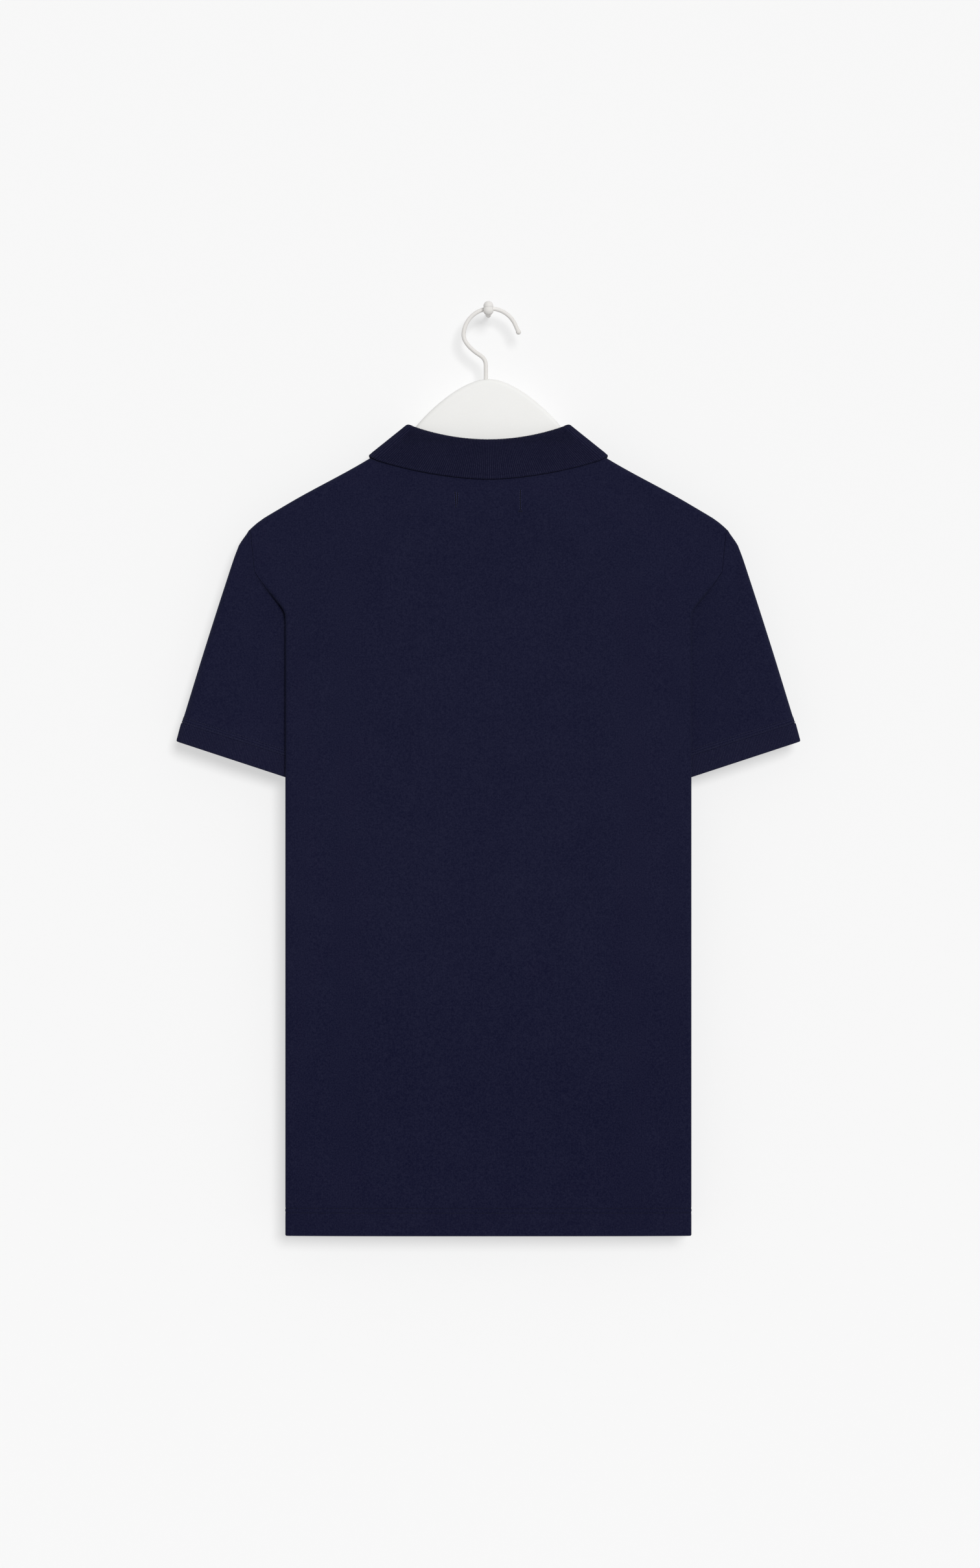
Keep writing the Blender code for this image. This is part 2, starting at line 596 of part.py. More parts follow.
def collar_profile(seam, fold, edge, along):
    """Section of the collar: stand, roll and fall.  along is the way the fold line runs."""
    outward = unit(np.array([along[1], -along[0], 0.0]))
    if outward @ (edge - seam) < 0:
        outward = -outward
    up = np.cross(outward, along)
    up = unit(up if up[2] > 0 else -up)
    centre = fold - up * COLLAR_ROLL
    rise, fall = unit(fold - seam), unit(edge - fold)
    first = math.atan2(rise @ outward, rise @ up)
    last = math.atan2(fall @ outward, fall @ up) % (2 * math.pi)
    arc = [centre + COLLAR_ROLL * (up * math.sin(a) - outward * math.cos(a))
           for a in np.linspace(first, last, 6)]
    base = seam + rise * SEAM * 1.5
    stand = [base + (arc[0] - base) * t for t in (0.0, 0.5)]
    leaf = [arc[-1] + (edge - arc[-1]) * t for t in (0.25, 0.5, 0.75, 1.0)]
    return stand + arc + leaf


def collar(back_grid, front_grid):
    """The folded rib collar, from the centre of the front round the neck and back again."""
    seams, edges, folds = [], [], []
    lift = CLOTH / 2 + SEAM + RIB / 2
    for side, grid in ((1, front_grid), (-1, back_grid)):
        half = []
        for seam in neck_stations(grid, side):
            x, z = collar_edge(seam, side)
            base = np.array([x, MID_Y + side * float(shell_depth(x, z)), z])
            near = 1.0 - float(smooth((float(ridge_height(x)) - z) / (3 * RIDGE_RADIUS)))
            if side > 0:
                near += COLLAR_FRONT_LIFT / COLLAR_SHOULDER_LIFT * (1.0 - near)
            away = shell_normal(x, z, side) * (lift + COLLAR_SHOULDER_LIFT * near)
            half.append((seam, fold_point(seam, side), base + away))
        if side < 0:
            half = half[-2::-1]
        for seam, fold, edge in half:
            seams.append(seam)
            folds.append(fold)
            edges.append(edge)
    shoulder = NECK_CELLS
    seams[shoulder][1] = MID_Y
    edges[shoulder][1] = MID_Y
    runs = unit(np.gradient(np.array(folds), axis=0))
    runs[-1] = (-1.0, 0.0, 0.0)
    half = np.array([collar_profile(s, f, e, r)
                     for s, f, e, r in zip(seams, folds, edges, runs)])
    flip = np.array([-1.0, 1.0, 1.0])
    grid = np.concatenate([half, half[-2::-1] * flip]).transpose(1, 0, 2)
    normals = grid_normals(grid, 2 * grid[0] - grid[1], 2 * grid[-1] - grid[-2],
                           2 * grid[:, 0] - grid[:, 1], 2 * grid[:, -1] - grid[:, -2])
    cloth_solid("collar", grid[:, ::-1], -normals[:, ::-1], RIB / 2, RIB / 2, "rib")


# ---------------------------------------------------------------- placket and buttons

def strip(name, half_width, top, bottom, lift):
    """A flat strip on the front, lift away from the middle of the front panel's wall."""
    xs = np.linspace(half_width, -half_width, 5)
    zs = np.linspace(top, bottom, 7)
    grid = np.array([[(x, MID_Y + float(shell_depth(x, z)) + lift, z) for x in xs]
                     for z in zs])
    normals = np.zeros_like(grid)
    normals[..., 1] = 1.0
    cloth_solid(name, grid, normals, CLOTH / 2, CLOTH / 2, "jersey")


def placket():
    """The under strip fills the slit; the upper one lies over it."""
    neck = NECK_Z - FRONT_NECK_DROP
    strip("placket_under", SLIT_X - SEAM, neck - SEAM, SLIT_END_Z + SEAM, 0.0)
    strip("placket_upper", PLACKET_X, neck - 2 * SEAM - RIB / 2, SLIT_END_Z - 4.0, CLOTH + SEAM)


def buttons():
    """Round buttons with a raised rim, each on the upper strip."""
    profile = ((0.0, 0.0), (0.72, 0.0), (0.94, 0.35), (1.0, 0.62), (0.96, 0.9), (0.84, 1.0),
               (0.7, 0.82), (0.0, 0.78))
    sides = 20
    base = CENTRE_DEPTH + CLOTH * 1.5 + SEAM * 2
    for name, height in BUTTON_Z.items():
        points, faces = [], []
        for radius, lift in profile[1:-1]:
            for n in range(sides):
                angle = 2 * math.pi * n / sides
                points.append((BUTTON_RADIUS * radius * math.cos(angle),
                               MID_Y + base + BUTTON_THICK * lift,
                               height + BUTTON_RADIUS * radius * math.sin(angle)))
        rings = len(profile) - 2
        for ring in range(rings - 1):
            for n in range(sides):
                m = (n + 1) % sides
                faces.append((ring * sides + m, ring * sides + n,
                              (ring + 1) * sides + n, (ring + 1) * sides + m))
        faces.append(tuple(range(sides)))
        faces.append(tuple((rings - 1) * sides + n for n in reversed(range(sides))))
        build_mesh(name, points, faces, "button")


# ---------------------------------------------------------------- hanger and peg

def hanger_body():
    """The moulded plate: its outline drawn in by rings that round the rim, with a socket."""
    right = list(HANGER_TOP) + list(HANGER_BOTTOM)
    outline = np.array([(p.x, p.z) for p in right]
                       + [(-p.x, p.z) for p in reversed(right[1:-1])])
    ahead = unit(np.roll(outline, -1, axis=0) - outline)
    behind = unit(outline - np.roll(outline, 1, axis=0))
    inward = unit(np.stack([-(ahead + behind)[:, 1], (ahead + behind)[:, 0]], axis=1))
    inward *= -1.0
    count = len(outline)
    angles = np.radians([-90, -55, -25, 0, 25, 55, 90])
    points, faces = [], []
    for angle in angles:
        drawn = outline + inward * PLATE_HALF * (1.0 - math.cos(angle))
        y = MID_Y + PLATE_HALF * math.sin(angle)
        points += [(x, y, z) for x, z in drawn]
    for ring in range(len(angles) - 1):
        for n in range(count):
            m = (n + 1) % count
            faces.append((ring * count + n, (ring + 1) * count + n,
                          (ring + 1) * count + m, ring * count + m))
    faces.append(tuple(range(count)))
    last = (len(angles) - 1) * count
    faces.append(tuple(last + n for n in reversed(range(count))))
    plate = build_mesh("hanger_body", points, faces, "plastic")
    top = HANGER_TOP[0].z + 6.0
    cutter = sweep("socket_cutter", [(STEM_X, MID_Y, SOCKET_END_Z), (STEM_X, MID_Y, top)],
                   [SOCKET_RADIUS, SOCKET_RADIUS], 16, "plastic")
    cutter.hide_render = True
    cutter.display_type = "WIRE"
    cut = plate.modifiers.new("socket", "BOOLEAN")
    cut.operation = "DIFFERENCE"
    cut.solver = "EXACT"
    cut.object = cutter


def hanger_hook():
    """The round wire hook, with a small ball at its tip."""
    arc = [(HOOK_CENTRE_X + HOOK_RADIUS * math.cos(a), HOOK_CENTRE_Z + HOOK_RADIUS * math.sin(a))
           for a in np.radians(np.linspace(188, 21, 20))]
    path = ([(p.x, MID_Y, p.z) for p in HOOK_LEAD] + [(x, MID_Y, z) for x, z in arc]
            + [(HOOK_END.x, MID_Y, HOOK_END.z)])
    radii = [WIRE_RADIUS] * len(path)
    end = np.array(path[-1])
    heading = unit(end - np.array(path[-2]))
    for angle in np.radians([-50, -25, 0, 30, 55, 75]):
        path.append(tuple(end + heading * TIP_RADIUS * (1.0 + math.sin(angle))))
        radii.append(TIP_RADIUS * math.cos(angle))
    sweep("hanger_hook", path, radii, 10, "enamel")


def peg_end():
    """Profile (radius, height) of the peg's upright end: a lobe, a waist and a ball."""
    waist = math.acos((PEG_LOBE_RADIUS ** 2 + (PEG_BALL_Z - PEG_LOBE_Z) ** 2
                       - PEG_BALL_RADIUS ** 2)
                      / (2 * PEG_LOBE_RADIUS * (PEG_BALL_Z - PEG_LOBE_Z)))
    lobe = np.linspace(math.radians(168), waist, 8)
    ring = PEG_LOBE_RADIUS * math.sin(waist)
    ball = np.linspace(math.pi - math.asin(ring / PEG_BALL_RADIUS), math.radians(10), 9)[1:]
    return ([(PEG_LOBE_RADIUS * math.sin(a), PEG_LOBE_Z + PEG_LOBE_RADIUS * math.cos(a))
             for a in lobe]
            + [(PEG_BALL_RADIUS * math.sin(a), PEG_BALL_Z + PEG_BALL_RADIUS * math.cos(a))
               for a in ball])


def wall_peg():
    """A small foot on the wall, a shank that comes down under the hook, and an upright end."""
    stations = [(0.0, 0.0, PEG_FOOT_RADIUS), (-PEG_FOOT_THICK, 0.02, PEG_FOOT_RADIUS),
                (-PEG_FOOT_THICK - 0.6, 0.05, PEG_SHANK_RADIUS),
                (MID_Y * 0.5, 0.6, PEG_SHANK_RADIUS), (MID_Y + 5.0, 1.0, PEG_SHANK_RADIUS),
                (PEG_END_Y, 1.0, PEG_SHANK_RADIUS)]
    shank = sweep("wall_peg", [(0.0, y, PEG_Z + (PEG_SHANK_Z - PEG_Z) * down)
                               for y, down, _ in stations],
                  [radius for _, _, radius in stations], 16, "enamel",
                  first_normal=np.array([0.0, -1.0, 0.0]))
    profile = peg_end()
    upright = sweep("peg_end", [(0.0, PEG_END_Y, z) for _, z in profile],
                    [radius for radius, _ in profile], 16, "enamel")
    upright.hide_render = True
    upright.display_type = "WIRE"
    join = shank.modifiers.new("end", "BOOLEAN")
    join.operation = "UNION"
    join.solver = "EXACT"
    join.object = upright


def main():
    """Build the shirt, then what holds it."""
    clear_scene()
    back = body_panel("back_panel", -1)
    front = body_panel("front_panel", 1)
    sleeves_and_cuffs(back, front)
    collar(back[0], front[0])
    placket()
    buttons()
    hanger_body()
    hanger_hook()
    wall_peg()


main()
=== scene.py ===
"""A short-sleeved polo shirt on a moulded plate hanger, hung from a ball-ended wall peg.

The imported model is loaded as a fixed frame.  Every cloth piece is then drawn again as a fine
closed wall over its solid, with the ribs, stitches and rolled edges that the solids leave out,
and the hanger, hook, peg and buttons get finer rims.  Shapes are worked out in millimetres, with
X across the shirt, Z up and the back of the shirt facing -Y, and become metres in the meshes.
"""
from __future__ import annotations

import logging
import math
from dataclasses import dataclass, field
from enum import Enum

import bpy
import numpy as np
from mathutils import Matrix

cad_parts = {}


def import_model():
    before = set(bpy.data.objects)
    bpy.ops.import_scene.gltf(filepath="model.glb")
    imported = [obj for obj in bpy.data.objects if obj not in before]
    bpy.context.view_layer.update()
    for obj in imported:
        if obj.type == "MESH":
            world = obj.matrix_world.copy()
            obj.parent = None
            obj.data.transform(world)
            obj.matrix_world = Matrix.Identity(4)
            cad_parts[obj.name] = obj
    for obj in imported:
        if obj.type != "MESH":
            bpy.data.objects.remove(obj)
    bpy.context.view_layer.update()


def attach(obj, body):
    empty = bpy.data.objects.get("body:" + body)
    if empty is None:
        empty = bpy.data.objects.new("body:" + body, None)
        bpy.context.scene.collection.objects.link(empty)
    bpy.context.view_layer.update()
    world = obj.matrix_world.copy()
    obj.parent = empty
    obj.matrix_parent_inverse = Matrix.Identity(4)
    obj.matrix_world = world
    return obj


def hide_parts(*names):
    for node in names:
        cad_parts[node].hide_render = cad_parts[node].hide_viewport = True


MM = 0.001
PEG_Z = 4.6         # height of the middle of the peg's flat back, which becomes the origin
LEAST_EDGE = 0.12   # share of a wall's half thickness that is left at a rolled edge
TINY = 1e-6         # less than any real distance here, for comparing two of them
THREAD_LIFT = 0.02  # millimetres that a loop's middle stands over the pressed skin
LOG = logging.getLogger("polo_shirt")
Array = np.ndarray
Piece = bpy.types.Object
Material = bpy.types.Material


class Side(Enum):
    """The two faces of the shirt, as the sign of their depth."""

    BACK = -1
    FRONT = 1


# ---- small sums


def smooth(share: Array | float) -> Array:
    """Ease from 0 to 1 with level ends: 3t^2 - 2t^3 of the share held between 0 and 1.

    Args:
        share: Any number or array.

    Returns:
        The eased share.
    """
    share = np.clip(share, 0.0, 1.0)
    return share * share * (3.0 - 2.0 * share)


def unit(vectors: Array) -> Array:
    """Scale vectors in the last axis to length one."""
    return vectors / np.maximum(np.linalg.norm(vectors, axis=-1, keepdims=True), 1e-9)


def flipped(points: Array, axis: int) -> Array:
    """The same points with the sign of one axis changed."""
    return points * np.where(np.arange(3) == axis, -1.0, 1.0)


def bell(distance: Array | float, width: float) -> Array:
    """A round bump of height one and the given width: exp(-(d/w)^2)."""
    return np.exp(-np.square(np.asarray(distance, float) / width))


def edge_round(distance: Array, radius: float) -> Array:
    """Share of a wall's half thickness near a rolled edge: a quarter circle of the radius.

    Args:
        distance: Distance from the edge.
        radius: Radius of the roll.

    Returns:
        From LEAST_EDGE at the edge to 1 one radius in.
    """
    near = np.clip(np.asarray(distance, float) / radius, 0.0, 1.0)
    return np.maximum(np.sqrt(1.0 - np.square(1.0 - near)), LEAST_EDGE)


def arc_length(points: Array) -> Array:
    """Distance travelled along a line of points, from zero at the first."""
    steps = np.linalg.norm(np.diff(points, axis=0), axis=1)
    return np.concatenate([[0.0], np.cumsum(steps)])


def resample(points: Array, at: Array, *others: Array) -> tuple[Array, ...]:
    """Read a line of points, and arrays that go with it, at chosen distances.

    Args:
        points: The line, one point a row.
        at: Distances along it.
        *others: Arrays with one row for each point.

    Returns:
        The points and the other arrays at those distances.
    """
    travelled = arc_length(points)
    return tuple(np.stack([np.interp(at, travelled, column) for column in item.T], axis=1)
                 for item in (points, *others))


# ---- meshes


def linked(name: str, data: bpy.types.ID) -> Piece:
    """Put a mesh, lamp or camera into the scene.

    Args:
        name: Object name.
        data: The mesh, lamp or camera.

    Returns:
        The new object.
    """
    item = bpy.data.objects.new(name, data)
    bpy.context.collection.objects.link(item)
    return item


def make_piece(name: str, points: Array, faces: list | Array, material: Material,
               uv: Array | None = None, sharp: float = 60.0) -> Piece:
    """Put points in millimetres and their faces into one smooth-shaded object.

    The peg's flat back, PEG_Z over the zero of the heights, becomes the origin.

    Args:
        name: Object name.
        points: One row for each vertex, in millimetres.
        faces: Vertex numbers of each face, seen from outside in turn.
        material: Its finish.
        uv: Flat cloth coordinates of each vertex in metres, if the finish needs them.
        sharp: Angle in degrees past which an edge is shaded sharp.

    Returns:
        The linked object.
    """
    mesh = bpy.data.meshes.new(name)
    rows = faces.tolist() if isinstance(faces, np.ndarray) else faces
    placed = np.asarray(points, float) - np.array([0.0, 0.0, PEG_Z])
    mesh.from_pydata((placed * MM).tolist(), [], rows)
    mesh.materials.append(material)
    if uv is not None:
        layer = mesh.uv_layers.new(name="cloth")
        corner = np.empty(len(mesh.loops), np.int32)
        mesh.loops.foreach_get("vertex_index", corner)
        layer.data.foreach_set("uv", np.asarray(uv, np.float32)[corner].ravel())
    mesh.validate()
    mesh.shade_smooth()
    mesh.set_sharp_from_angle(angle=math.radians(sharp))
    return linked(name, mesh)


@dataclass
class Wall:
    """A closed cloth wall: a grid of points on its middle, moved out and in along normals.

    out and inward are half thicknesses in millimetres, one for each point or fewer.
    """

    points: Array
    normals: Array
    uv: Array
    out: Array | float
    inward: Array | float
    keep: Array | None = None
    closed: bool = False

    def skins(self) -> Array:
        """Move the middle out and in by the half thicknesses.

        Returns:
            Both skins' vertices, the outer ones first.
        """
        shape = self.points.shape[:2]
        out = np.broadcast_to(np.asarray(self.out, float), shape)[..., None]
        inward = np.broadcast_to(np.asarray(self.inward, float), shape)[..., None]
        return np.concatenate([(self.points + self.normals * out).reshape(-1, 3),
                               (self.points - self.normals * inward).reshape(-1, 3)])

    def faces(self) -> Array:
        """Close the wall round the cells that are kept.

        Returns:
            Faces of both skins, and of the strip along every border.
        """
        rows, cols = self.points.shape[:2]
        cells = cols if self.closed else cols - 1
        keep = np.ones((rows - 1, cells), bool) if self.keep is None else self.keep
        index = np.arange(rows * cols).reshape(rows, cols)
        near, far = index[:, :cells], np.roll(index, -1, axis=1)[:, :cells]
        ring = np.stack([near[:-1], near[1:], far[1:], far[:-1]], axis=-1)
        pad = np.pad(keep, ((1, 1), (0, 0)))
        left, right = np.roll(keep, 1, axis=1), np.roll(keep, -1, axis=1)
        if not self.closed:
            left[:, 0] = right[:, -1] = False
        beside = (left, pad[2:], right, pad[:-2])
        half = rows * cols
        parts = [ring[keep], half + ring[keep][:, ::-1]]
        for turn, other in enumerate(beside):
            open_edge = keep & ~other
            start, end = ring[open_edge][:, turn], ring[open_edge][:, (turn + 1) % 4]
            parts.append(np.stack([end, start, start + half, end + half], axis=1))
        return np.concatenate(parts)

    def mirrored(self) -> Wall:
        """Mirror a wall without openings, and turn the order of its columns round.

        Returns:
            The wall on the other half of the shirt.
        """
        out, inward = (np.broadcast_to(part, self.points.shape[:2])[:, ::-1]
                       for part in (self.out, self.inward))
        return Wall(flipped(self.points, 0)[:, ::-1], flipped(self.normals, 0)[:, ::-1],
                    self.uv[:, ::-1], out, inward, closed=self.closed)

    def build(self, name: str, material: Material) -> Piece:
        """Make the wall's object, leaving out the vertices that no face uses.

        Args:
            name: Object name.
            material: Its finish.

        Returns:
            The linked object.
        """
        faces = self.faces()
        used, order = np.unique(faces, return_inverse=True)
        flat = np.tile(self.uv.reshape(-1, 2), (2, 1))
        return make_piece(name, self.skins()[used], order.reshape(faces.shape), material,
                          flat[used], sharp=75.0)


def grid_normals(grid: Array, before_row: Array, after_row: Array,
                 before_col: Array | None = None, after_col: Array | None = None) -> Array:
    """Normals of a grid by central differences, with one row or column past each border.

    Args:
        grid: Points, rows by columns.
        before_row: Row before the first.
        after_row: Row after the last.
        before_col: Column before the first; without it the grid is a closed ring.
        after_col: Column after the last.

    Returns:
        One unit normal for each point: the cross product of the ways down and across.
    """
    tall = np.concatenate([before_row[None], grid, after_row[None]])
    if before_col is None or after_col is None:
        across = np.roll(grid, -1, axis=1) - np.roll(grid, 1, axis=1)
    else:
        wide = np.concatenate([before_col[:, None], grid, after_col[:, None]], axis=1)
        across = wide[:, 2:] - wide[:, :-2]
    return unit(np.cross(tall[2:] - tall[:-2], across))


def past(edge: Array, beside: Array) -> Array:
    """The row or column that would follow an edge in a straight line."""
    return 2 * edge - beside


def combined(piece: Piece, tool: Piece, operation: str, sharp: float) -> None:
    """Join a tool to a piece or cut it away, keep the result as its mesh, and drop the tool.

    Args:
        piece: The object to change.
        tool: The object that is joined or cut away, and then removed.
        operation: UNION or DIFFERENCE.
        sharp: Angle in degrees past which an edge is shaded sharp.
    """
    cut = piece.modifiers.new("combined", "BOOLEAN")
    cut.operation, cut.solver, cut.object = operation, "EXACT", tool
    mesh = bpy.data.meshes.new_from_object(
        piece.evaluated_get(bpy.context.evaluated_depsgraph_get()))
    piece.modifiers.clear()
    piece.data = mesh
    bpy.data.objects.remove(tool, do_unlink=True)
    mesh.shade_smooth()
    mesh.set_sharp_from_angle(angle=math.radians(sharp))


def dress(piece: Piece, slot: str, *nodes: str) -> Piece:
    """Let a piece ride on the part, log its finish slot and stand for its solids, which are
    hidden.

    Args:
        piece: A finished piece of the scene.
        slot: The finish slot that it shows.
        *nodes: Solids that it takes the place of.

    Returns:
        The piece.
    """
    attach(piece, "root")
    if nodes:
        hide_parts(*nodes)
    LOG.info("%s: %d faces, %s", piece.name, len(piece.data.polygons), slot)
    return piece


def cap_faces(ring: Array) -> Array:
    """Close a ring with four-sided faces, strip by strip from side to side.

    Args:
        ring: Vertex numbers of the ring, an even number of them.

    Returns:
        The faces.
    """
    count = len(ring)
    step = np.arange(count // 2 - 1)
    return np.stack([ring[step], ring[step + 1], ring[count - 2 - step], ring[count - 1 - step]],
                    axis=1)


def ring_index(rings: int, sides: int) -> tuple[Array, Array]:
    """Vertex numbers of stacked rings, and of the next vertex round each ring."""
    index = np.arange(rings * sides).reshape(rings, sides)
    return index, np.roll(index, -1, axis=1)


def bar_faces(rings: int, sides: int) -> Array:
    """Faces of a bar of stacked rings, closed by a cap at each end.

    Args:
        rings: How many rings.
        sides: Points in a ring, an even number.

    Returns:
        Four-sided faces.
    """
    index, far = ring_index(rings, sides)
    bands = np.stack([index[:-1], far[:-1], far[1:], index[1:]], axis=-1).reshape(-1, 4)
    return np.concatenate([bands, cap_faces(index[0])[:, ::-1], cap_faces(index[-1])])


def swept(path: Array, radii: Array, sides: int) -> tuple[Array, Array]:
    """A round bar along a path, closed by small end caps.

    Each ring is a circle across the path, turned as little as can be from the one before.

    Args:
        path: Centre points.
        radii: Radius at each point.
        sides: Points in a ring, an even number.

    Returns:
        Vertices and four-sided faces.
    """
    path = np.asarray(path, float)
    tangents = unit(np.gradient(path, axis=0))
    across = np.array([0.0, 1.0, 0.0]) if abs(tangents[0][1]) < 0.9 else np.array([1.0, 0, 0])
    frames = []
    for tangent in tangents:
        across = unit(across - tangent * (across @ tangent))
        frames.append((across, np.cross(tangent, across)))
    frames = np.array(frames)
    turn = math.tau * np.arange(sides) / sides
    circle = (frames[:, 0, None] * np.cos(turn)[:, None]
              + frames[:, 1, None] * np.sin(turn)[:, None])
    points = (path[:, None] + circle * np.asarray(radii, float)[:, None, None]).reshape(-1, 3)
    return points, bar_faces(len(path), sides)


def turned(profile: Array, sides: int) -> tuple[Array, Array]:
    """A shape turned on the Z axis from (radius, height) points, closed at both ends.

    Args:
        profile: Points from the bottom to the top.
        sides: Points round, an even number.

    Returns:
        Vertices and four-sided faces.
    """
    turn = math.tau * np.arange(sides) / sides
    ring = np.stack([np.cos(turn), np.sin(turn)], axis=1)
    points = np.concatenate([profile[:, 0][:, None, None] * ring,
                             np.broadcast_to(profile[:, 1][:, None, None],
                                             (len(profile), sides, 1))], axis=2)
    return points.reshape(-1, 3), bar_faces(len(profile), sides)


@dataclass(frozen=True)
class Stitch:
    """A run of short raised thread loops, in millimetres.

    pitch lies between the middles of two loops; width and height are half of one loop's, across
    the line and off the cloth.  nearby is how far each side the line's direction is read.
    """

    pitch: float
    length: float
    width: float
    height: float
    nearby: float = 0.4

    def run(self, line: Array, normals: Array, start: float = 0.0) -> tuple[Array, Array]:
        """Lay loops along a line on the cloth.

        Each one is a bar of four six-sided rings, narrow at its ends.  The rings are ellipses
        of the width across the line and the height along the normal.

        Args:
            line: Points on the skin.
            normals: Outward normals there.
            start: Distance of the first loop from the line's start.

        Returns:
            Vertices and four-sided faces of the whole run.
        """
        count = max(int((arc_length(line)[-1] - start) / self.pitch), 1)
        at = start + self.pitch * (np.arange(count) + 0.5)
        centre, out = resample(line, at, normals)
        ahead = unit(resample(line, at + self.nearby)[0] - resample(line, at - self.nearby)[0])
        out = unit(out)
        side = np.cross(out, ahead)
        along = np.array([-0.5, -0.3, 0.3, 0.5])
        scale = np.array([0.4, 1.0, 1.0, 0.4])[:, None]
        sides = 6
        turn = math.tau * np.arange(sides) / sides
        shift = (along * self.length)[None, :, None, None] * ahead[:, None, None]
        wide = (scale * np.cos(turn) * self.width)[None, ..., None] * side[:, None, None]
        tall = (scale * np.sin(turn) * self.height)[None, ..., None] * out[:, None, None]
        points = (centre[:, None, None] + shift + wide + tall).reshape(-1, 3)
        index, far = ring_index(len(along), sides)
        one = np.concatenate([np.stack([index[:-1], index[1:], far[1:], far[:-1]],
                                       axis=-1).reshape(-1, 4),
                              cap_faces(index[0]), cap_faces(index[-1])[:, ::-1]])
        return points, (one + index.size * np.arange(count)[:, None, None]).reshape(-1, 4)


def gather(parts: list[tuple[Array, Array]]) -> tuple[Array, Array]:
    """Join several sets of vertices and faces into one.

    Args:
        parts: The sets.

    Returns:
        Vertices and faces of them all.
    """
    starts = np.cumsum([0] + [len(points) for points, _ in parts[:-1]])
    return (np.concatenate([points for points, _ in parts]),
            np.concatenate([faces + start for (_, faces), start in zip(parts, starts)]))


# ---- finishes

Colour = tuple[float, float, float]
Socket = bpy.types.NodeSocket


class Tree:
    """Adds nodes to one shader tree and links them by socket name."""

    def __init__(self, tree: bpy.types.NodeTree) -> None:
        """Keep the tree."""
        self.tree = tree

    def add(self, kind: str, values: dict | None = None, **settings: object) -> bpy.types.Node:
        """Add a node.

        Args:
            kind: Its Blender type, after "ShaderNode".
            values: Input values, or sockets to link, by input name or number.
            **settings: Properties of the node, which are set first.

        Returns:
            The node.
        """
        node = self.tree.nodes.new("ShaderNode" + kind)
        for name, value in settings.items():
            setattr(node, name, value)
        self.fill(node, values or {})
        return node

    def fill(self, node: bpy.types.Node, values: dict) -> None:
        """Set a node's inputs.

        Args:
            node: The node.
            values: Input values, or sockets to link, by input name or number.
        """
        for key, value in values.items():
            if isinstance(value, Socket):
                self.tree.links.new(value, node.inputs[key])
            else:
                node.inputs[key].default_value = value

    def place(self) -> Socket:
        """The object coordinates."""
        return self.add("TexCoord").outputs["Object"]

    def bump(self, height: Socket, strength: float, distance: float) -> Socket:
        """Normal of a surface raised by a height of up to distance in metres."""
        return self.add("Bump", {"Height": height, "Strength": strength,
                                 "Distance": distance}).outputs[0]

    def math(self, operation: str, *terms: float | Socket) -> Socket:
        """Result of a Math node on numbers or sockets."""
        return self.add("Math", dict(enumerate(terms)), operation=operation).outputs[0]

    def mix(self, share: float | Socket, first: Colour | Socket,
            second: Colour | Socket) -> Socket:
        """Mix two colours.

        Args:
            share: How much of the second.
            first: A colour or a socket.
            second: A colour or a socket.

        Returns:
            The mixed colour.
        """
        colours = [c if isinstance(c, Socket) else (*c, 1.0) for c in (first, second)]
        return self.add("Mix", {"Factor": share, 6: colours[0], 7: colours[1]},
                        data_type="RGBA").outputs[2]


def effect_group(name: str, inputs: dict[str, float], outputs: list[str]) -> tuple[Tree, dict]:
    """Start a shader node group with a vector input, number inputs and number outputs.

    Args:
        name: Name of the group.
        inputs: Default of each number input.
        outputs: Names of the outputs.

    Returns:
        The group's tree and its input and output nodes.
    """
    group = bpy.data.node_groups.new(name, "ShaderNodeTree")
    group.interface.new_socket("Vector", in_out="INPUT", socket_type="NodeSocketVector")
    for socket, value in inputs.items():
        made = group.interface.new_socket(socket, in_out="INPUT", socket_type="NodeSocketFloat")
        made.default_value = value
    for socket in outputs:
        group.interface.new_socket(socket, in_out="OUTPUT", socket_type="NodeSocketFloat")
    return Tree(group), {"in": group.nodes.new("NodeGroupInput"),
                         "out": group.nodes.new("NodeGroupOutput")}


def knit_loops() -> bpy.types.NodeTree:
    """Group with the loops of a knit on the cloth's own flat coordinates in metres.

    Each wale is a pair of slanted legs: the height is the sine across the wale, times one plus
    the sine along the course, which is bent by the distance from the wale's middle.

    Returns:
        The group, made once.
    """
    found = bpy.data.node_groups.get("knit_loops")
    if found:
        return found
    tree, ends = effect_group("knit_loops", {"Wale": 0.0009, "Course": 0.0007, "Slant": 0.35},
                              ["Height", "Shade"])
    given = ends["in"].outputs
    axes = tree.add("SeparateXYZ", {0: given["Vector"]}).outputs
    wale = tree.math("DIVIDE", axes["X"], given["Wale"])
    course = tree.math("DIVIDE", axes["Y"], given["Course"])
    leg = tree.math("PINGPONG", wale, 0.5)
    bent = tree.math("ADD", course, tree.math("MULTIPLY", leg, given["Slant"]))
    across = tree.math("SINE", tree.math("MULTIPLY", wale, math.tau))
    along = tree.math("SINE", tree.math("MULTIPLY", bent, math.tau))
    loop = tree.math("MULTIPLY", tree.math("ADD", tree.math("MULTIPLY", along, 0.5), 1.0),
                     tree.math("ADD", tree.math("MULTIPLY", across, 0.5), 0.5))
    fuzz = tree.add("TexNoise", {"Vector": given["Vector"], "Scale": 2600.0,
                                 "Detail": 2.0}).outputs[0]
    height = tree.math("MULTIPLY_ADD", fuzz, 0.35, loop)
    tree.fill(ends["out"], {"Height": height, "Shade": tree.math("MULTIPLY", height, 0.6)})
    return tree.tree


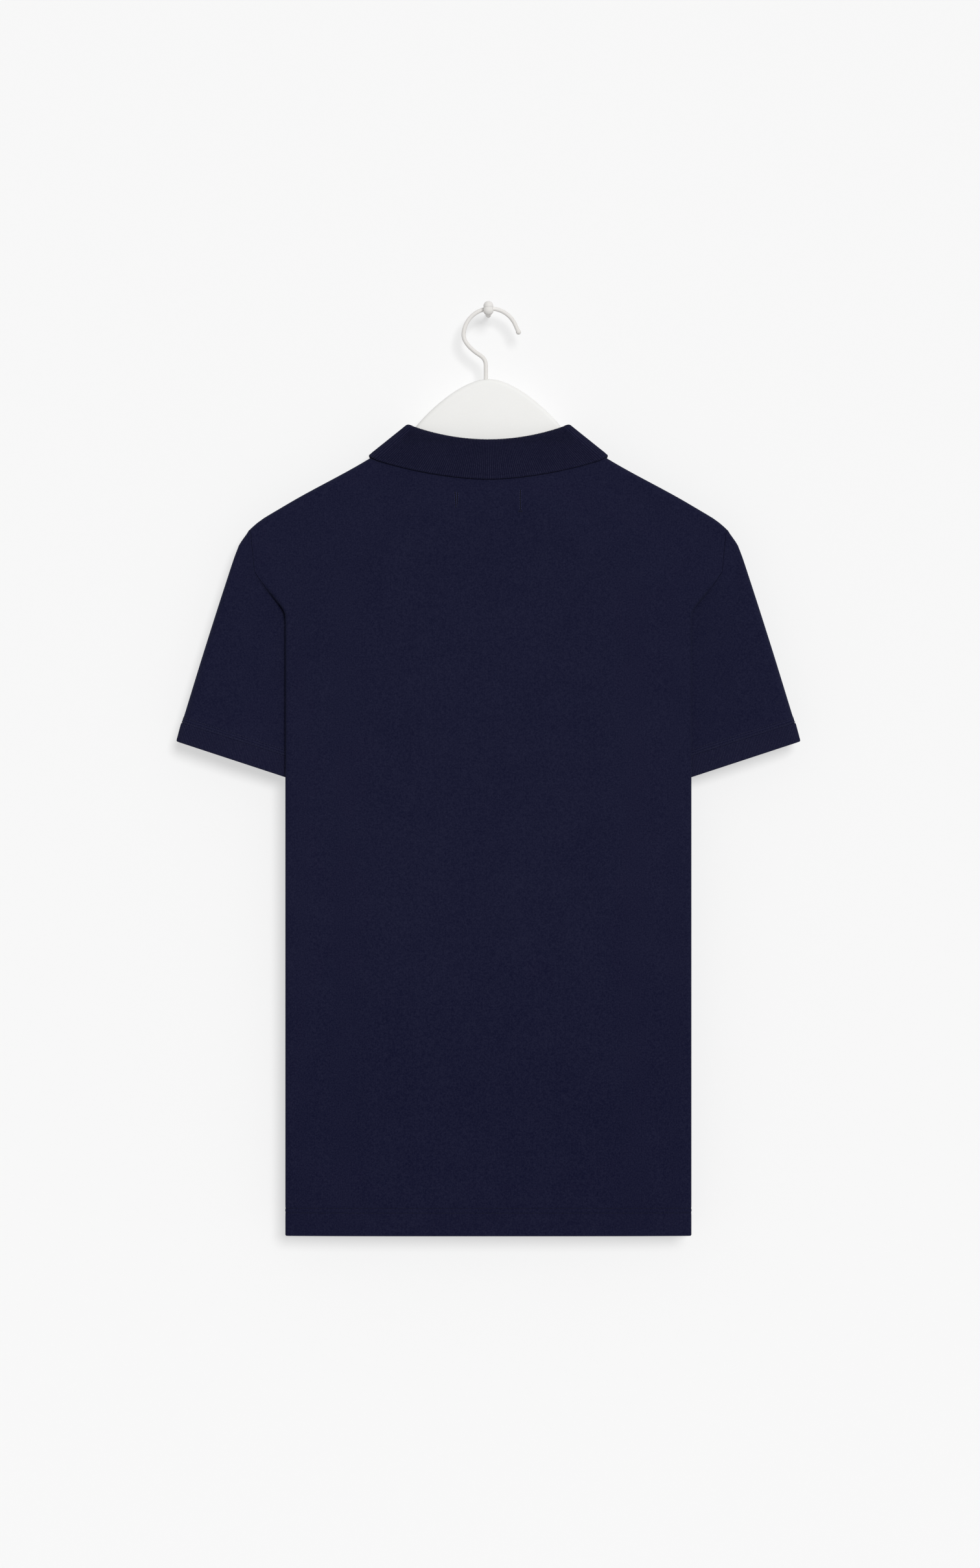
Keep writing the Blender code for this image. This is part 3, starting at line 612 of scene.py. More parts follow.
def slow_change() -> bpy.types.NodeTree:
    """Group with a slow change over the surface: two noises, wide and fine, as a 0-1 mask.

    Returns:
        The group, made once.
    """
    found = bpy.data.node_groups.get("slow_change")
    if found:
        return found
    tree, ends = effect_group("slow_change", {"Wide": 9.0, "Fine": 420.0, "Share": 0.4},
                              ["Mask"])
    given = ends["in"].outputs
    wide, fine = (tree.add("TexNoise", {"Vector": given["Vector"], "Scale": given[name],
                                        "Detail": 3.0}).outputs[0] for name in ("Wide", "Fine"))
    part = tree.math("MULTIPLY", fine, given["Share"])
    rest = tree.math("MULTIPLY", wide, tree.math("SUBTRACT", 1.0, given["Share"]))
    spread = tree.add("MapRange", {"Value": tree.math("ADD", part, rest), "From Min": 0.3,
                                   "From Max": 0.7})
    tree.fill(ends["out"], {"Mask": spread.outputs[0]})
    return tree.tree


def new_finish(name: str) -> tuple[Material, Tree, bpy.types.Node]:
    """Start a node material.

    Args:
        name: Its name.

    Returns:
        The material, its tree and its Principled shader.
    """
    material = bpy.data.materials.new(name)
    material.use_nodes = True
    return material, Tree(material.node_tree), material.node_tree.nodes["Principled BSDF"]


@dataclass(frozen=True)
class KnitFinish:
    """A dyed cotton knit, matt with a little fuzz that catches light at a slant.

    wale and course are the loop's width and height in metres; relief is how far it stands up.
    loop_tone is the loops' share of the tone, and the dye's slow change has the rest.
    ribs is the spacing of ribs along the cloth's X, or zero for a plain knit; painted shade makes
    their grooves darker by the share groove.  seam_shading_and_wear is how much the turned edge
    over a seam at height zero, turned_edge high, pales with painted light and wear on its ridges
    and darkens with painted shade between them; one ridge is ridge_top up, and the other one
    ridge_pitch lower.  lower_shade_depth is how much painted shade darkens the cloth from the
    upper height of foot down to the lower one.
    """

    name: str
    dark: Colour
    light: Colour
    wale: float
    course: float
    relief: float
    slant: float = 0.35
    ribs: float = 0.0
    groove: float = 0.85
    loop_tone: float = 0.30
    seam_shading_and_wear: float = 0.0
    turned_edge: float = 0.0055
    ridge_top: float = 0.00345
    ridge_pitch: float = 0.0029
    lower_shade_depth: float = 0.0
    foot: tuple[float, float] = (-0.50, -0.76)
    sheen: float = 0.04
    sheen_tint: Colour = (0.35, 0.42, 0.75)
    roughness: float = 0.88

    def material(self) -> Material:
        """Build the material: loops in bump and tone, a slow change of dye depth, and the painted
        shade and light of rib grooves, seam ridges and lower body.

        Returns:
            The material.
        """
        material, tree, shader = new_finish(self.name)
        flat = tree.add("UVMap", uv_map="cloth").outputs[0]
        across, up = tree.add("SeparateXYZ", {0: flat}).outputs[:2]
        loops = tree.add("Group", {"Vector": flat, "Wale": self.wale, "Course": self.course,
                                   "Slant": self.slant}, node_tree=knit_loops()).outputs
        dye = tree.add("Group", {"Vector": tree.place(), "Wide": 30.0, "Fine": 740.0,
                                 "Share": 0.86}, node_tree=slow_change()).outputs[0]
        tone = tree.math("ADD", tree.math("MULTIPLY", loops["Shade"], self.loop_tone),
                         tree.math("MULTIPLY", dye, 1.0 - self.loop_tone))
        # Painted shade: the tone darkens in the rib grooves by the share groove.
        if self.ribs:
            turn = tree.math("MULTIPLY", across, math.tau / self.ribs)
            ridge = tree.math("MULTIPLY_ADD", tree.math("COSINE", turn), self.groove / 2,
                              1.0 - self.groove / 2)
            tone = tree.math("MULTIPLY", tone, ridge)
        # Painted shade: the tone darkens smoothly from the upper height of foot down to the lower
        # one.
        if self.lower_shade_depth:
            lower_shade = tree.add("MapRange", {"Value": up, "From Min": self.foot[0],
                                           "From Max": self.foot[1], "To Min": 0.0,
                                           "To Max": self.lower_shade_depth},
                              interpolation_type="SMOOTHSTEP").outputs[0]
            tone = tree.math("SUBTRACT", tone, lower_shade)
        # Painted light and shade, with wear: over the turned edge the tone pales on the ridges
        # and darkens between them.
        if self.seam_shading_and_wear:
            middle = self.turned_edge / 2
            away = tree.math("ABSOLUTE", tree.math("SUBTRACT", up, middle))
            turn = tree.math("MULTIPLY_ADD", up, math.tau / self.ridge_pitch,
                             -math.tau * self.ridge_top / self.ridge_pitch)
            ridge_shading_and_wear = tree.math("MULTIPLY", tree.math("COSINE", turn),
                             tree.math("LESS_THAN", away, middle))
            tone = tree.math("MULTIPLY_ADD", ridge_shading_and_wear, self.seam_shading_and_wear, tone)
        tree.fill(shader, {
            "Base Color": tree.mix(tone, self.dark, self.light),
            "Normal": tree.bump(loops["Height"], 0.55, self.relief),
            "Roughness": tree.math("MULTIPLY_ADD", dye, 0.08, self.roughness - 0.04),
            "Specular IOR Level": 0.05, "Sheen Weight": self.sheen, "Sheen Roughness": 0.55,
            "Sheen Tint": (*self.sheen_tint, 1.0)})
        return material


@dataclass(frozen=True)
class ThreadFinish:
    """Spun sewing thread, a little smoother than the cloth, with a fine twist."""

    name: str = "sewing_thread"
    dark: Colour = (0.0085, 0.0092, 0.0260)
    light: Colour = (0.0185, 0.0197, 0.0460)

    def material(self) -> Material:
        """Build the material: a slanted twist in bump and tone on object coordinates.

        Returns:
            The material.
        """
        material, tree, shader = new_finish(self.name)
        slanted = tree.add("Mapping", {"Vector": tree.place(),
                                       "Rotation": (0.0, 0.7, 0.6)}).outputs[0]
        twist = tree.add("TexWave", {"Vector": slanted, "Scale": 1100.0,
                                     "Distortion": 0.6}).outputs["Fac"]
        tree.fill(shader, {"Base Color": tree.mix(twist, self.dark, self.light),
                           "Normal": tree.bump(twist, 0.5, 0.00008), "Roughness": 0.62,
                           "Specular IOR Level": 0.10, "Sheen Weight": 0.05})
        return material


@dataclass(frozen=True)
class HardFinish:
    """A moulded or painted hard surface with a fine ripple and a slow change of gloss."""

    name: str
    low: Colour
    high: Colour
    roughness: float
    ripple: float = 0.00004
    ripple_scale: float = 380.0
    specular: float = 0.5

    def material(self) -> Material:
        """Build the material: slow colour and gloss change, and ripple as bump.

        Returns:
            The material.
        """
        material, tree, shader = new_finish(self.name)
        place = tree.place()
        mask = tree.add("Group", {"Vector": place, "Wide": 22.0, "Fine": 600.0,
                                  "Share": 0.3}, node_tree=slow_change()).outputs[0]
        noise = tree.add("TexNoise", {"Vector": place, "Scale": self.ripple_scale,
                                      "Detail": 2.0}).outputs[0]
        tree.fill(shader, {
            "Base Color": tree.mix(mask, self.low, self.high),
            "Roughness": tree.math("MULTIPLY_ADD", mask, 0.10, self.roughness - 0.05),
            "Normal": tree.bump(noise, 0.4, self.ripple),
            "Specular IOR Level": self.specular})
        return material


@dataclass(frozen=True)
class StageFinish:
    """Plain matt paint of the wall or floor, seen from its front only when asked.

    glow is the light that a backdrop gives off of itself, which keeps its shadows pale.
    """

    name: str
    colour: Colour
    one_sided: bool = False
    glow: float = 0.0

    def material(self) -> Material:
        """Build the material; a one-sided wall lets a view from behind through.

        Returns:
            The material.
        """
        material, tree, shader = new_finish(self.name)
        noise = tree.add("TexNoise", {"Vector": tree.place(), "Scale": 6.0}).outputs[0]
        low = tuple(channel * 0.995 for channel in self.colour)
        tree.fill(shader, {"Base Color": tree.mix(noise, low, self.colour), "Roughness": 0.95,
                           "Specular IOR Level": 0.0, "Emission Color": (1.0, 1.0, 1.0, 1.0),
                           "Emission Strength": self.glow})
        if self.one_sided:
            back = tree.add("NewGeometry").outputs["Backfacing"]
            clear = tree.add("BsdfTransparent").outputs[0]
            shown = tree.add("MixShader", {0: back, 1: shader.outputs[0], 2: clear})
            tree.fill(tree.tree.nodes["Material Output"], {"Surface": shown.outputs[0]})
        return material


class Finishes:
    """Every material of the part, each built once."""

    def __init__(self) -> None:
        """Build them all."""
        # The jersey's lower_shade_depth is painted shade low on the body, and its
        # seam_shading_and_wear is painted light and shade with wear at the cuff seams.
        self.jersey = KnitFinish("fine_jersey", (0.0034, 0.0039, 0.0190),
                                 (0.0153, 0.0161, 0.0392), 0.00085, 0.00065,
                                 0.00010, seam_shading_and_wear=0.27, lower_shade_depth=0.10).material()
        # The rib knits' groove share is painted shade in their rib grooves.
        self.rib = KnitFinish("collar_rib_knit", (0.0040, 0.0042, 0.0176),
                              (0.0228, 0.0235, 0.0498), 0.00082, 0.00075, 0.00012,
                              slant=0.8, ribs=0.00172).material()
        self.cuff = KnitFinish("cuff_rib_knit", (0.0050, 0.0052, 0.0215),
                               (0.0235, 0.0243, 0.0515), 0.00075, 0.00075, 0.00012,
                               slant=0.8, ribs=0.0015, groove=0.7).material()
        self.thread = ThreadFinish().material()
        self.hem_thread = ThreadFinish("hem_thread", (0.0026, 0.0030, 0.0130),
                                       (0.0042, 0.0048, 0.0190)).material()
        # Painted shade: a near-black thread that stands for the shade in the label tacks' slits.
        self.tack_slit_shade = ThreadFinish("painted_slit_shade", (0.0012, 0.0013, 0.0040),
                                 (0.0025, 0.0027, 0.0080)).material()
        self.tack_loop = ThreadFinish("tack_loop_thread", (0.0160, 0.0176, 0.0520),
                                      (0.0250, 0.0272, 0.0780)).material()
        self.button = HardFinish("navy_button", (0.010, 0.011, 0.026), (0.020, 0.022, 0.050),
                                 0.32, ripple_scale=900.0).material()
        self.plastic = HardFinish("white_moulded_plastic", (0.815, 0.812, 0.792),
                                  (0.850, 0.848, 0.832), 0.6, specular=0.3).material()
        self.enamel = HardFinish("white_enamel", (0.735, 0.715, 0.685), (0.775, 0.76, 0.74),
                                 0.62, specular=0.25).material()
        self.wall = StageFinish("lit_wall", (0.38, 0.38, 0.38), one_sided=True,
                                glow=0.55).material()
        self.floor = StageFinish("pale_floor", (0.50, 0.50, 0.50)).material()


# ---- the garment's own surface


@dataclass
class ShirtForm:
    """Sizes of the shirt as it hangs, and the sums that place its cloth, in millimetres."""

    mid_y: float = -26.0
    cloth: float = 1.4
    rib: float = 2.0
    seam: float = 0.3
    neck_x: float = 86.0
    neck_z: float = -118.4
    shoulder_x: float = 220.0
    shoulder_z: float = -197.7
    ridge_soft: float = 12.0
    bulge: float = 2.8
    bulge_from: float = 115.0
    bulge_wide: float = 70.0
    bulge_end: float = 205.0
    back_neck_drop: float = 26.4
    front_neck_drop: float = 86.6
    ridge_radius: float = 5.2
    flare: float = 80.0
    centre_depth: float = 16.0
    edge_depth: float = 13.0
    body_x: float = 186.8
    side_x: float = 115.0
    crease_top_z: float = -237.8
    crease_end_z: float = -275.6
    underarm_z: float = -331.4
    hem_z: float = -850.5
    hem_depth: float = 23.0
    hem_inside: float = 1.7
    fold_radius: float = 2.5
    slit_x: float = 14.0
    slit_end_z: float = -355.0
    least_fold: float = 3.0
    least_tuck: float = 4.0

    @property
    def slope(self) -> float:
        """Fall of the shoulder for each millimetre out."""
        return (self.shoulder_z - self.neck_z) / (self.shoulder_x - self.neck_x)

    @property
    def slope_cos(self) -> float:
        """Cosine of the shoulder's slope."""
        return 1.0 / math.hypot(1.0, self.slope)

    @property
    def full_tuck(self) -> float:
        """Length of the tuck below the underarm: straight back, then a quarter circle."""
        deep = self.edge_depth - 2 * self.fold_radius
        return self.body_x - self.fold_radius - self.side_x - deep + deep * math.pi / 2

    def ridge_height(self, x: Array) -> Array:
        """Height of the shoulder line: two slopes, rounded where they meet over the neck.

        The outer half bulges up by an eased step, and ends on a parabola at the sleeve.

        Args:
            x: Places across the shirt.

        Returns:
            The heights.
        """
        soft = np.sqrt(np.square(x) + self.ridge_soft ** 2) - self.ridge_soft
        blend = smooth((np.abs(x) - self.neck_x / 2) / (self.neck_x / 2))
        ending = np.clip((np.abs(x) - self.bulge_end) / (self.shoulder_x - self.bulge_end), 0, 1)
        bulge = self.bulge * smooth((np.abs(x) - self.bulge_from) / self.bulge_wide)
        return (self.neck_z + self.slope * (soft * (1 - blend) + np.abs(x) * blend - self.neck_x)
                + bulge * (1 - ending ** 2))

    def shell_depth(self, x: Array, z: Array) -> Array:
        """Half depth of the body's cloth at (x, z).

        A quarter circle over the hanger's arm, then an eased flare to the full depth, which is
        less towards the sides by the fourth power of the distance from the centre.

        Args:
            x: Places across the shirt.
            z: Their heights.

        Returns:
            Distances from the middle plane.
        """
        radius = self.ridge_radius
        below = np.maximum((self.ridge_height(x) - z) * self.slope_cos, 0.0)
        round_part = np.sqrt(np.clip(below * (2 * radius - below), 0.0, radius ** 2))
        share = np.minimum(np.abs(x) / self.body_x, 1.0)
        full = self.centre_depth - (self.centre_depth - self.edge_depth) * share ** 4
        flare = radius + (full - radius) * smooth((below - radius) / self.flare)
        return np.where(below < radius, round_part, flare)

    def shell_normal(self, x: Array, z: Array, side: Array | float) -> Array:
        """Outward normal of the body's cloth: radial over the arm, else from its slopes.

        Args:
            x: Places across the shirt.
            z: Their heights.
            side: -1 for the back, 1 for the front.

        Returns:
            Unit vectors.
        """
        below = (self.ridge_height(x) - z) * self.slope_cos
        lift = 1.0 - np.clip(below, 0.0, self.ridge_radius) / self.ridge_radius
        spread = np.sqrt(np.maximum(1.0 - lift ** 2, 0.0))
        tilt = -self.slope * self.slope_cos * np.where(x >= 0, 1.0, -1.0)
        over_arm = np.stack([tilt * lift, side * spread, self.slope_cos * lift], axis=-1)
        across = (self.shell_depth(x + 1, z) - self.shell_depth(x - 1, z)) / 2
        up = (self.shell_depth(x, z + 1) - self.shell_depth(x, z - 1)) / 2
        face = unit(np.stack([-across, side + 0 * across, -up], axis=-1))
        return np.where((below < self.ridge_radius)[..., None], over_arm, face)

    def neck_height(self, x: Array, side: Side) -> Array:
        """Height of the neck seam: a shallow curve behind, a deep one in front.

        Each drops from the shoulder by one less a power of the distance out.

        Args:
            x: Places across the shirt.
            side: Back or front.

        Returns:
            The heights.
        """
        share = np.minimum(np.abs(x) / self.neck_x, 1.0)
        if side is Side.BACK:
            return self.neck_z - self.back_neck_drop * (1.0 - share ** 2.2)
        return self.neck_z - self.front_neck_drop * (1.0 - share ** 3)

    def on_shell(self, x: Array, z: Array, side: Side, lift: float = 0.0) -> Array:
        """Points of the body's cloth.

        Args:
            x: Places across the shirt.
            z: Their heights.
            side: Back or front.
            lift: How far they are moved out along the cloth's normal.

        Returns:
            The points.
        """
        x, z = np.broadcast_arrays(np.asarray(x, float), np.asarray(z, float))
        flat = np.stack([x, self.mid_y + side.value * self.shell_depth(x, z), z], axis=-1)
        return flat + self.shell_normal(x, z, float(side.value)) * lift

    def row_spans(self, z: Array) -> dict[str, Array]:
        """Girth of half a row at the height of its edge, one entry for each row.

        The face ends at the armhole, the crease or the folded side, whose meeting is rounded by
        w log(1 + exp(z / w)).  The fold turns up to half a circle, and the tuck inside it grows
        down to the underarm by the 1.5th power.

        Args:
            z: Heights of the rows' edges.

        Returns:
            The face's end, the fold's angle, and the lengths of tuck, fold, inner and flat part.
        """
        crease_top_x, round_w = 215.7, 2.6
        lean = (crease_top_x - self.body_x) / (self.crease_top_z - self.crease_end_z)
        rise = np.clip((z - self.crease_end_z) / round_w, -30.0, 30.0)
        crease = self.body_x + lean * round_w * np.log1p(np.exp(rise))
        edge = np.where(z < self.crease_top_z, crease,
                        np.interp(z, [self.crease_top_z, self.shoulder_z],
                                  [crease_top_x, self.shoulder_x]))
        turn = math.pi * np.clip((self.crease_top_z - z) / (self.crease_top_z
                                                            - self.crease_end_z), 0, 1)
        drop = np.clip((self.crease_end_z - z) / (self.crease_end_z - self.underarm_z), 0, 1)
        radius = self.fold_radius
        tuck = self.full_tuck * drop ** 1.5
        face = edge - radius * np.sin(np.minimum(turn, math.pi / 2))
        fold = np.maximum(radius * turn, self.least_fold)
        inner = np.maximum(tuck, self.least_tuck)
        return {"face": face, "turn": turn, "tuck": tuck, "fold": fold, "inner": inner,
                "flat": face + radius * turn + tuck - fold - inner}

    def girth_points(self, along: Array, z: Array, row: dict[str, Array]) -> Array:
        """Place (x, half depth) of points by their distance along a row from the centre.

        They run straight along the face, round the fold by a half circle, back inside it, and
        end on a quarter circle at the side seam.

        Args:
            along: Distances from the centre, rows by columns.
            z: Their heights.
            row: What row_spans gives for the rows.

        Returns:
            Pairs of x and half depth.
        """
        face, turn, tuck = (row[name][:, None] for name in ("face", "turn", "tuck"))
        radius = self.fold_radius
        start = self.shell_depth(np.minimum(along, face), z)
        angle = np.maximum(along - face, 0.0) / radius
        x, depth = face + radius * np.sin(angle), start - radius * (1.0 - np.cos(angle))
        deep = np.maximum(start - 2 * radius, 0.1)
        inward = along - face - radius * turn
        straight = face - self.side_x - deep
        last = (inward - straight) / np.maximum(self.full_tuck - straight, 1.0) * math.pi / 2
        inside = (angle > turn) & (tuck > 0.0)
        ended = inside & (inward > straight)
        x = np.where(inside, face - inward, x)
        depth = np.where(inside, deep, depth)
        x = np.where(ended, self.side_x + deep - deep * np.sin(last), x)
        depth = np.where(ended, deep * np.cos(last), depth)
        on_face = along <= face
        return np.stack([np.where(on_face, along, x), np.where(on_face, start, depth)], axis=-1)


@dataclass
class PanelGrid:
    """Middle of one body panel's wall, with its normals and its yoke's rows."""

    points: Array
    normals: Array
    girth: Array
    yoke_rows: int


@dataclass
class BodyPanel:
    """One body panel with its side tucks, turned hem and two-needle hem stitching.

    hem_needles are the heights of the two stitch rows above the hem's edge; dent is how far
    they press the cloth in over about dent_width, and ridge how far it stands up between them
    over about ridge_width.
    """

    form: ShirtForm
    side: Side
    hem_needles: tuple[float, float] = (25.5, 21.3)
    dent: float = 0.30
    dent_width: float = 0.55
    ridge: float = 0.16
    ridge_width: float = 0.9
    stitch: Stitch = Stitch(pitch=2.7, length=2.214, width=0.30, height=0.24)

    def columns(self) -> tuple[Array, Array, Array]:
        """Shares of the columns, closer together near the neck and at the side seam.

        Returns:
            Shares along the flat part, round the fold and along the tuck.
        """
        form = self.form
        top_flat = form.shoulder_x - form.least_fold - form.least_tuck
        neck = form.slit_x + (form.neck_x - form.slit_x) * (1 - (1 - np.linspace(0, 1, 25))
                                                            ** 1.7)
        out = np.linspace(form.neck_x, top_flat, 25)
        flat = np.concatenate([np.linspace(0, form.slit_x, 4)[:-1], neck, out[1:]])
        tuck = np.concatenate([np.linspace(0, 0.82, 9)[1:], np.linspace(0.82, 1.0, 8)[1:]])
        return flat / top_flat, np.linspace(0, 1, 9)[1:], tuck

    def heights(self) -> tuple[Array, Array]:
        """Rows, closer together at the seams, round the hem's stitches and at its edge.

        Returns:
            Shares of the rows down the yoke, and heights of the rows below it.
        """
        form = self.form
        yoke = np.concatenate([[0, .0035, .008, .014, .021, .03, .042, .057, .075],
                               np.linspace(0.095, 1.0, 46)])
        hem_rows = np.array([needle + step for needle in self.hem_needles
                             for step in (0.8, 0.35, 0.0, -0.35, -0.8)])
        edge = np.array([2.0, 1.3, 0.8, 0.4, 0.15, 0.0])
        body = np.concatenate([
            np.linspace(form.underarm_z, form.slit_end_z, 4)[1:],
            np.linspace(form.slit_end_z, form.hem_z + 30.0, 44)[1:],
            form.hem_z + np.sort(np.concatenate([hem_rows, [28.2, 23.4, 16.0, 10.0, 5.0],
                                                 edge]))[::-1]])
        return yoke, body

    def grid(self) -> PanelGrid:
        """Rows from the neck and shoulders to the hem, columns from side seam to side seam.

        Both panels end on the middle plane, so their shoulder and side seams are closed.

        Returns:
            The grid with its normals.
        """
        form = self.form
        yoke, body = self.heights()
        flat, fold, tuck = self.columns()
        top_edge = form.row_spans(np.array([form.shoulder_z]))
        top = np.concatenate([flat * top_edge["flat"], top_edge["flat"] + fold
                              * top_edge["fold"], top_edge["flat"] + top_edge["fold"]
                              + tuck * top_edge["inner"]])
        top_z = np.where(top < form.neck_x - TINY, form.neck_height(top, self.side),
                         form.ridge_height(top))
        yoke_z = top_z + yoke[:, None] * (form.underarm_z - top_z)
        z = np.concatenate([yoke_z, np.broadcast_to(body[:, None], (len(body), len(top)))])
        edge_z = np.concatenate([form.shoulder_z + yoke * (form.underarm_z - form.shoulder_z),
                                 body])
        row = form.row_spans(edge_z)
        along = np.concatenate([flat * row["flat"][:, None],
                                row["flat"][:, None] + fold * row["fold"][:, None],
                                (row["flat"] + row["fold"])[:, None]
                                + tuck * row["inner"][:, None]], axis=1)
        place = form.girth_points(along, z, row)
        depth = form.mid_y + self.side.value * np.maximum(place[..., 1], 0.0)
        half = np.stack([place[..., 0], depth, z], axis=-1)
        points = np.concatenate([flipped(half[:, :0:-1], 0), half], axis=1)
        girth = np.concatenate([-along[:, :0:-1], along], axis=1)
        return PanelGrid(points, self.normals(points, len(yoke)), girth, len(yoke))

    def normals(self, points: Array, yoke_rows: int) -> Array:
        """Outward normals; shoulder and side seams carry on into the other panel.

        Args:
            points: The grid's points.
            yoke_rows: How many of its rows lie above the underarm.

        Returns:
            Unit vectors.
        """
        form = self.form

        def other_side(line: Array) -> Array:
            """A line of points mirrored in the middle plane."""
            return flipped(line - [0, form.mid_y, 0], 1) + [0, form.mid_y, 0]

        before_row = past(points[0], points[1])
        on_ridge = np.abs(points[0, :, 0]) >= form.neck_x - TINY
        before_row[on_ridge] = other_side(points[1])[on_ridge]
        before_col = past(points[:, 0], points[:, 1])
        after_col = past(points[:, -1], points[:, -2])
        seam = np.arange(len(points)) >= yoke_rows - 1
        before_col[seam] = other_side(points[:, 1])[seam]
        after_col[seam] = other_side(points[:, -2])[seam]
        return grid_normals(points, before_row, past(points[-1], points[-2]), before_col,
                            after_col) * -self.side.value

    def build(self, finishes: Finishes) -> PanelGrid:
        """Make the panel and its hem stitches.

        Args:
            finishes: The part's materials.

        Returns:
            Its grid, which the sleeves start from.
        """
        form, made = self.form, self.grid()
        above = made.points[:, made.points.shape[1] // 2, 2] - form.hem_z
        presses = sum(bell(above - needle, self.dent_width) for needle in self.hem_needles)
        between = bell(above - sum(self.hem_needles) / 2, self.ridge_width)
        roll = edge_round(above, form.hem_inside * 0.75)
        folded = smooth((form.hem_depth + 0.6 - above) / 1.6)
        inside = form.cloth / 2 + (form.hem_inside - form.cloth / 2) * folded
        out = (form.cloth / 2 - self.dent * presses + self.ridge * between) * roll
        name = "back_panel" if self.side is Side.BACK else "front_panel"
        keep = np.ones((len(above) - 1, made.points.shape[1] - 1), bool)
        if self.side is Side.FRONT:
            middle = made.points.shape[1] // 2
            rows = int(np.searchsorted(-made.points[:, middle, 2], -form.slit_end_z - TINY))
            keep[:rows, middle - 3:middle + 3] = False
        uv = np.stack([made.girth, made.points[..., 2]], axis=-1) * MM
        turn = slice(None) if self.side is Side.BACK else slice(None, None, -1)
        wall = Wall(made.points[:, turn], made.normals[:, turn], uv[:, turn], out[:, None],
                    (inside * roll)[:, None], keep[:, turn])
        piece = dress(wall.build(name + "_cloth", finishes.jersey), "jersey", name)
        skin = made.points + made.normals * (out[:, None, None] + THREAD_LIFT)
        rows = [int(np.argmin(np.abs(above - needle))) for needle in self.hem_needles]
        run = gather([self.stitch.run(skin[row], made.normals[row], shift)
                      for row, shift in zip(rows, (0.0, self.stitch.pitch / 2))])
        thread = dress(make_piece(name + "_hem_stitching", *run, finishes.hem_thread), "jersey")
        return made


# ---- sleeves and cuffs


